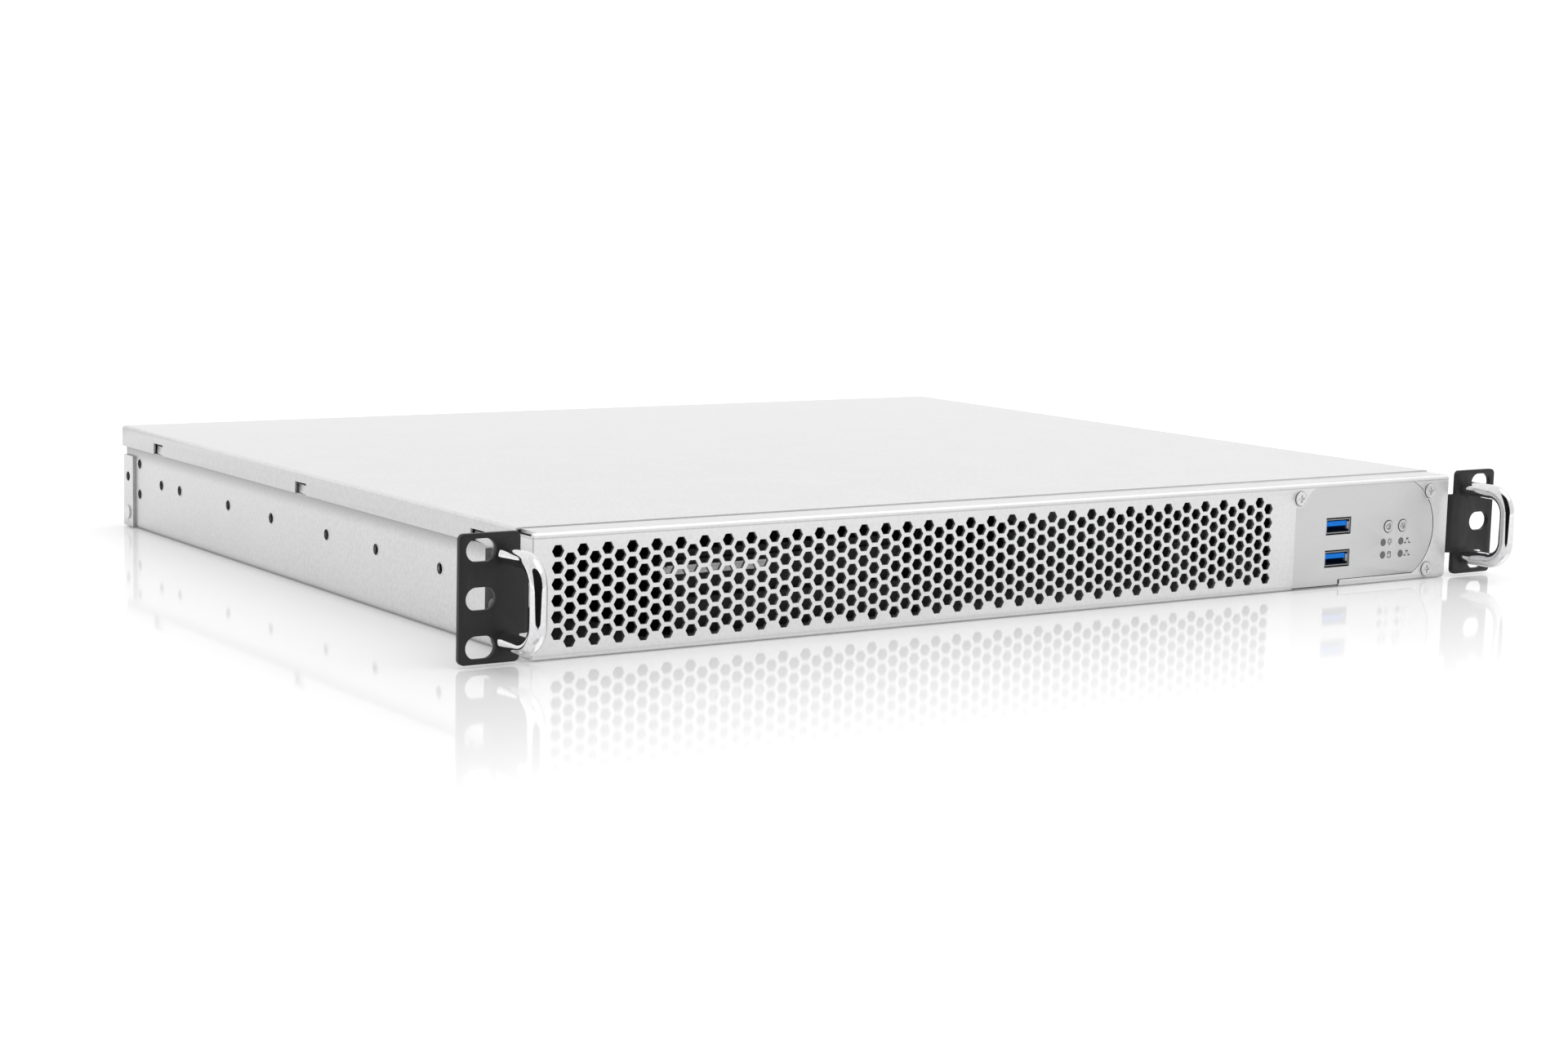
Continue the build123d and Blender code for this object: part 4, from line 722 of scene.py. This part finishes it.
# Small pieces of the front
def field_edge():
    """Points along the round right edge of the control field's window."""
    low, middle, high = (Vector(point) for point in FIELD_EDGE)
    chord = high - low
    across = Vector((-chord.y, chord.x)).normalized()
    rise = (middle - (low + high) / 2).dot(across)
    radius = (chord.length ** 2 / 4 + rise ** 2) / (2 * abs(rise))
    centre = middle - across * math.copysign(radius, rise)
    start = math.atan2(low.y - centre.y, low.x - centre.x)
    end = math.atan2(high.y - centre.y, high.x - centre.x)
    angles = [start + (end - start) * step / FIELD_STEPS for step in range(FIELD_STEPS + 1)]
    return [(centre.x + radius * math.cos(angle), centre.y + radius * math.sin(angle)) for angle in angles]


def make_field_seam():
    """Painted shade in the control field's seam: a black strip in its right gap and painted shadow lines
    along its foot.
    """
    window = [(x - SEAM_CLEAR, z) for x, z in field_edge()]
    plate = [(x - FIELD_GAP + SEAM_CLEAR, z) for x, z in field_edge()]
    seam = bmesh.new()
    add_prism(seam, window + plate[::-1], *SEAM_DEPTHS, front_place)
    for start, end, width in FIELD_FOOT_SHADOWS:
        add_stroke(seam, (start, end), 0, width)
    add_piece("field_seam", seam, CHASSIS, SEAM_SHADE)


def make_button_hole_shades():
    """Thin black rings of painted shade in the two button holes, clear of the buttons."""
    shade_rings = bmesh.new()
    for node in ("power_button", "reset_button"):
        x, z = middle_of(node)
        outer = arc(x, z, BUTTON_HOLE - HOLE_SHADE_CLEAR, 0, 360, steps=HOLE_SHADE_STEPS)
        inner = arc(x, z, BUTTON_HOLE - HOLE_SHADE_WALL, 0, 360, steps=HOLE_SHADE_STEPS)
        for step in range(HOLE_SHADE_STEPS):
            wedge = [outer[step], outer[step + 1], inner[step + 1], inner[step]]
            add_prism(shade_rings, wedge, *SEAM_DEPTHS, front_place)
    bmesh.ops.remove_doubles(shade_rings, verts=shade_rings.verts, dist=HOLE_SHADE_SAME_PLACE * MM)
    add_piece("button_hole_shades", shade_rings, CHASSIS, SEAM_SHADE)


def make_socket_springs():
    """Bowed leaf springs at the inner side walls of the two USB sockets."""
    low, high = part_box("usb_shells")
    springs = bmesh.new()
    for side, edge in ((1, low[0] / MM), (-1, high[0] / MM)):
        face = edge + side * SOCKET_WALL
        bow = zip(SPRING_BOW, SPRING_DEPTHS)
        near = [(face + side * SPRING_REACH * share, depth) for share, depth in bow]
        far = [(x + side * SPRING_LEAF, depth) for x, depth in near]
        for foot in (low[2] / MM, high[2] / MM - SOCKET_HEIGHT):
            top = foot + SOCKET_HEIGHT - SPRING_DROP
            add_prism(springs, near + far[::-1], foot + SPRING_DROP, top, plan_place)
    add_piece("socket_springs", springs, CHASSIS, MATERIALS["zinc_screw"])


def make_drive_strip():
    """A small folded strip of bright sheet on the drive's front, seen through the hexagons."""
    low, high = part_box("disk_drive")
    face = (low[1] - FRONT_Y) / MM
    lip = face - STRIP_LIP
    inside = face - STRIP_SHEET
    under = STRIP_HIGH - STRIP_SHEET
    profile = [(face, STRIP_LOW), (face, STRIP_HIGH), (lip, STRIP_HIGH),
               (lip, under), (inside, under), (inside, STRIP_LOW)]
    strip = bmesh.new()
    add_prism(strip, profile, low[0] / MM, STRIP_RIGHT, side_place)
    add_piece("drive_strip", strip, BODY_OF["disk_drive"], PRESSED)


# Room and light
def make_floor():
    """Glossy white table whose reflection fades away from the case."""
    low, high = (Vector(corner) for corner in cad_box)
    bpy.ops.mesh.primitive_plane_add(size=FLOOR_WIDTH, location=(0, 0, low.z - FLOOR_DROP))
    floor = bpy.context.object
    floor.name = "floor"
    grey = (FLOOR_GREY, FLOOR_GREY, FLOOR_GREY)
    material, tree, shader = start_material("floor_gloss", grey, FLOOR_ROUGHNESS)
    shader.inputs["Specular IOR Level"].default_value = 0
    shader.inputs["Emission Color"].default_value = (1, 1, 1, 1)
    shader.inputs["Emission Strength"].default_value = FLOOR_GLOW
    gloss = tree.nodes.new("ShaderNodeBsdfGlossy")
    gloss.inputs["Roughness"].default_value = GLOSS_ROUGHNESS
    place = split_place(tree, tree.nodes.new("ShaderNodeNewGeometry").outputs["Position"])
    reach = []
    for axis, half in (("X", (high.x - low.x) / 2), ("Y", (high.y - low.y) / 2)):
        past = calculate(tree, "SUBTRACT", calculate(tree, "ABSOLUTE", place[axis]), half - GLOSS_INSET)
        reach.append(calculate(tree, "MAXIMUM", past, 0))
    share = map_range(tree, calculate(tree, "MAXIMUM", *reach), (0.0, GLOSS_REACH), (GLOSS_SHARE, 0.0))
    mix_shaders(tree, share, shader, gloss)
    floor.data.materials.append(material)


def make_room():
    """White surroundings that are brighter behind the case, with a dark wall far behind the viewer."""
    world = bpy.data.worlds.new("Studio")
    bpy.context.scene.world = world
    world.use_nodes = True
    tree = world.node_tree
    way = tree.nodes.new("ShaderNodeTexCoord").outputs["Generated"]
    facing = tree.nodes.new("ShaderNodeVectorMath")
    facing.operation = "DOT_PRODUCT"
    tree.links.new(way, facing.inputs[0])
    facing.inputs[1].default_value = ROOM_BACK
    behind = map_range(tree, facing.outputs["Value"], DARK_WALL)
    above = map_range(tree, split_place(tree, way)["Z"], DARK_WALL_FOOT)
    dark = calculate(tree, "MULTIPLY", behind, above)
    bright = map_range(tree, facing.outputs["Value"], BRIGHT_WALL)
    light = map_range(tree, bright, result=(ROOM_DIM, ROOM_BRIGHT), smooth=False)
    shade = map_range(tree, dark, result=(1.0, ROOM_DARK), smooth=False)
    sky = tree.nodes["Background"]
    sky.inputs["Color"].default_value = (1, 1, 1, 1)
    tree.links.new(calculate(tree, "MULTIPLY", light, shade), sky.inputs["Strength"])


def make_sun():
    """One soft light from above the right front."""
    sun = bpy.data.lights.new("soft_sun", "SUN")
    sun.energy = SUN_STRENGTH
    sun.angle = math.radians(SUN_SPREAD)
    holder = bpy.data.objects.new("soft_sun", sun)
    holder.rotation_euler = Vector(SUN_FROM).to_track_quat("Z", "Y").to_euler()
    bpy.context.scene.collection.objects.link(holder)


def limit_sight(material):
    """Lets only short rays that come to a flag's face from the handle's side see it."""
    tree = material.node_tree
    length = tree.nodes.new("ShaderNodeLightPath").outputs["Ray Length"]
    back = tree.nodes.new("ShaderNodeNewGeometry").outputs["Backfacing"]
    hidden = calculate(tree, "MAXIMUM", calculate(tree, "GREATER_THAN", length, FLAG_SIGHT), back)
    mix_shaders(tree, hidden, tree.nodes["Principled BSDF"], tree.nodes.new("ShaderNodeBsdfTransparent"))


def make_flag(name, handle, distance, half_width):
    """A black flag between a handle and the viewer, which shows only as a dark stripe in its chrome."""
    low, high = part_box(handle)
    foot = Vector(((low[0] + high[0]) / 2, low[1], 0))
    toward = Vector((CAMERA_PLACE[0], CAMERA_PLACE[1], 0)) - foot
    toward.normalize()
    across = Vector((-toward.y, toward.x, 0))
    shape = bmesh.new()
    sides = []
    for side in (-1, 1):
        corners = []
        for height, share in FLAG_CORNERS:
            way = toward * distance + across * (side * share * half_width) + Vector((0, 0, height))
            corners.append(foot + MM * way)
        sides.append(corners)
    shape.faces.new([shape.verts.new(spot) for spot in sides[0] + sides[1][:0:-1]])
    mesh = bpy.data.meshes.new(name)
    shape.to_mesh(mesh)
    shape.free()
    mesh.materials.append(FLAG_BLACK)
    if mesh.polygons[0].normal.dot(toward) > 0:
        mesh.flip_normals()
    flag = bpy.data.objects.new(name, mesh)
    bpy.context.scene.collection.objects.link(flag)
    flag.visible_camera = False
    flag.visible_diffuse = False
    flag.visible_shadow = False


def make_camera():
    """The photograph's view, with its principal point at the picture's centre."""
    camera = bpy.data.cameras.new("camera")
    camera.sensor_width = SENSOR_WIDTH
    camera.lens = FOCAL_PIXELS / IMAGE_WIDTH * SENSOR_WIDTH
    camera.clip_start, camera.clip_end = CAMERA_CLIP
    holder = bpy.data.objects.new("camera", camera)
    turn = Matrix.Rotation(math.radians(CAMERA_TURN), 4, "Z")
    tilt = Matrix.Rotation(math.radians(90 + CAMERA_TILT), 4, "X")
    roll = Matrix.Rotation(math.radians(CAMERA_ROLL), 4, "Z")
    holder.matrix_world = Matrix.Translation(CAMERA_PLACE) @ turn @ tilt @ roll
    bpy.context.scene.collection.objects.link(holder)
    bpy.context.scene.camera = holder


bpy.context.scene.view_settings.view_transform = "Standard"
make_camera()
make_room()
make_sun()
make_floor()
limit_sight(FLAG_BLACK)
make_flag("left_flag", "left_handle", *LEFT_FLAG)
make_flag("right_flag", "right_handle", *RIGHT_FLAG)
dress_nodes()
for node in ("left_ear", "right_ear"):
    softened_copy(node, COATED_EDGE)
for node in ("front_panel", "top_cover", "control_plate"):
    softened_copy(node, SHEET_EDGE)
for node in ("handle_screws", "ear_screws", "control_screws"):
    softened_copy(node, SCREW_EDGE)
make_light_marks()
make_button_marks()
make_hole_rims()
make_screw_dimples()
make_field_seam()
make_button_hole_shades()
make_socket_springs()
make_drive_strip()
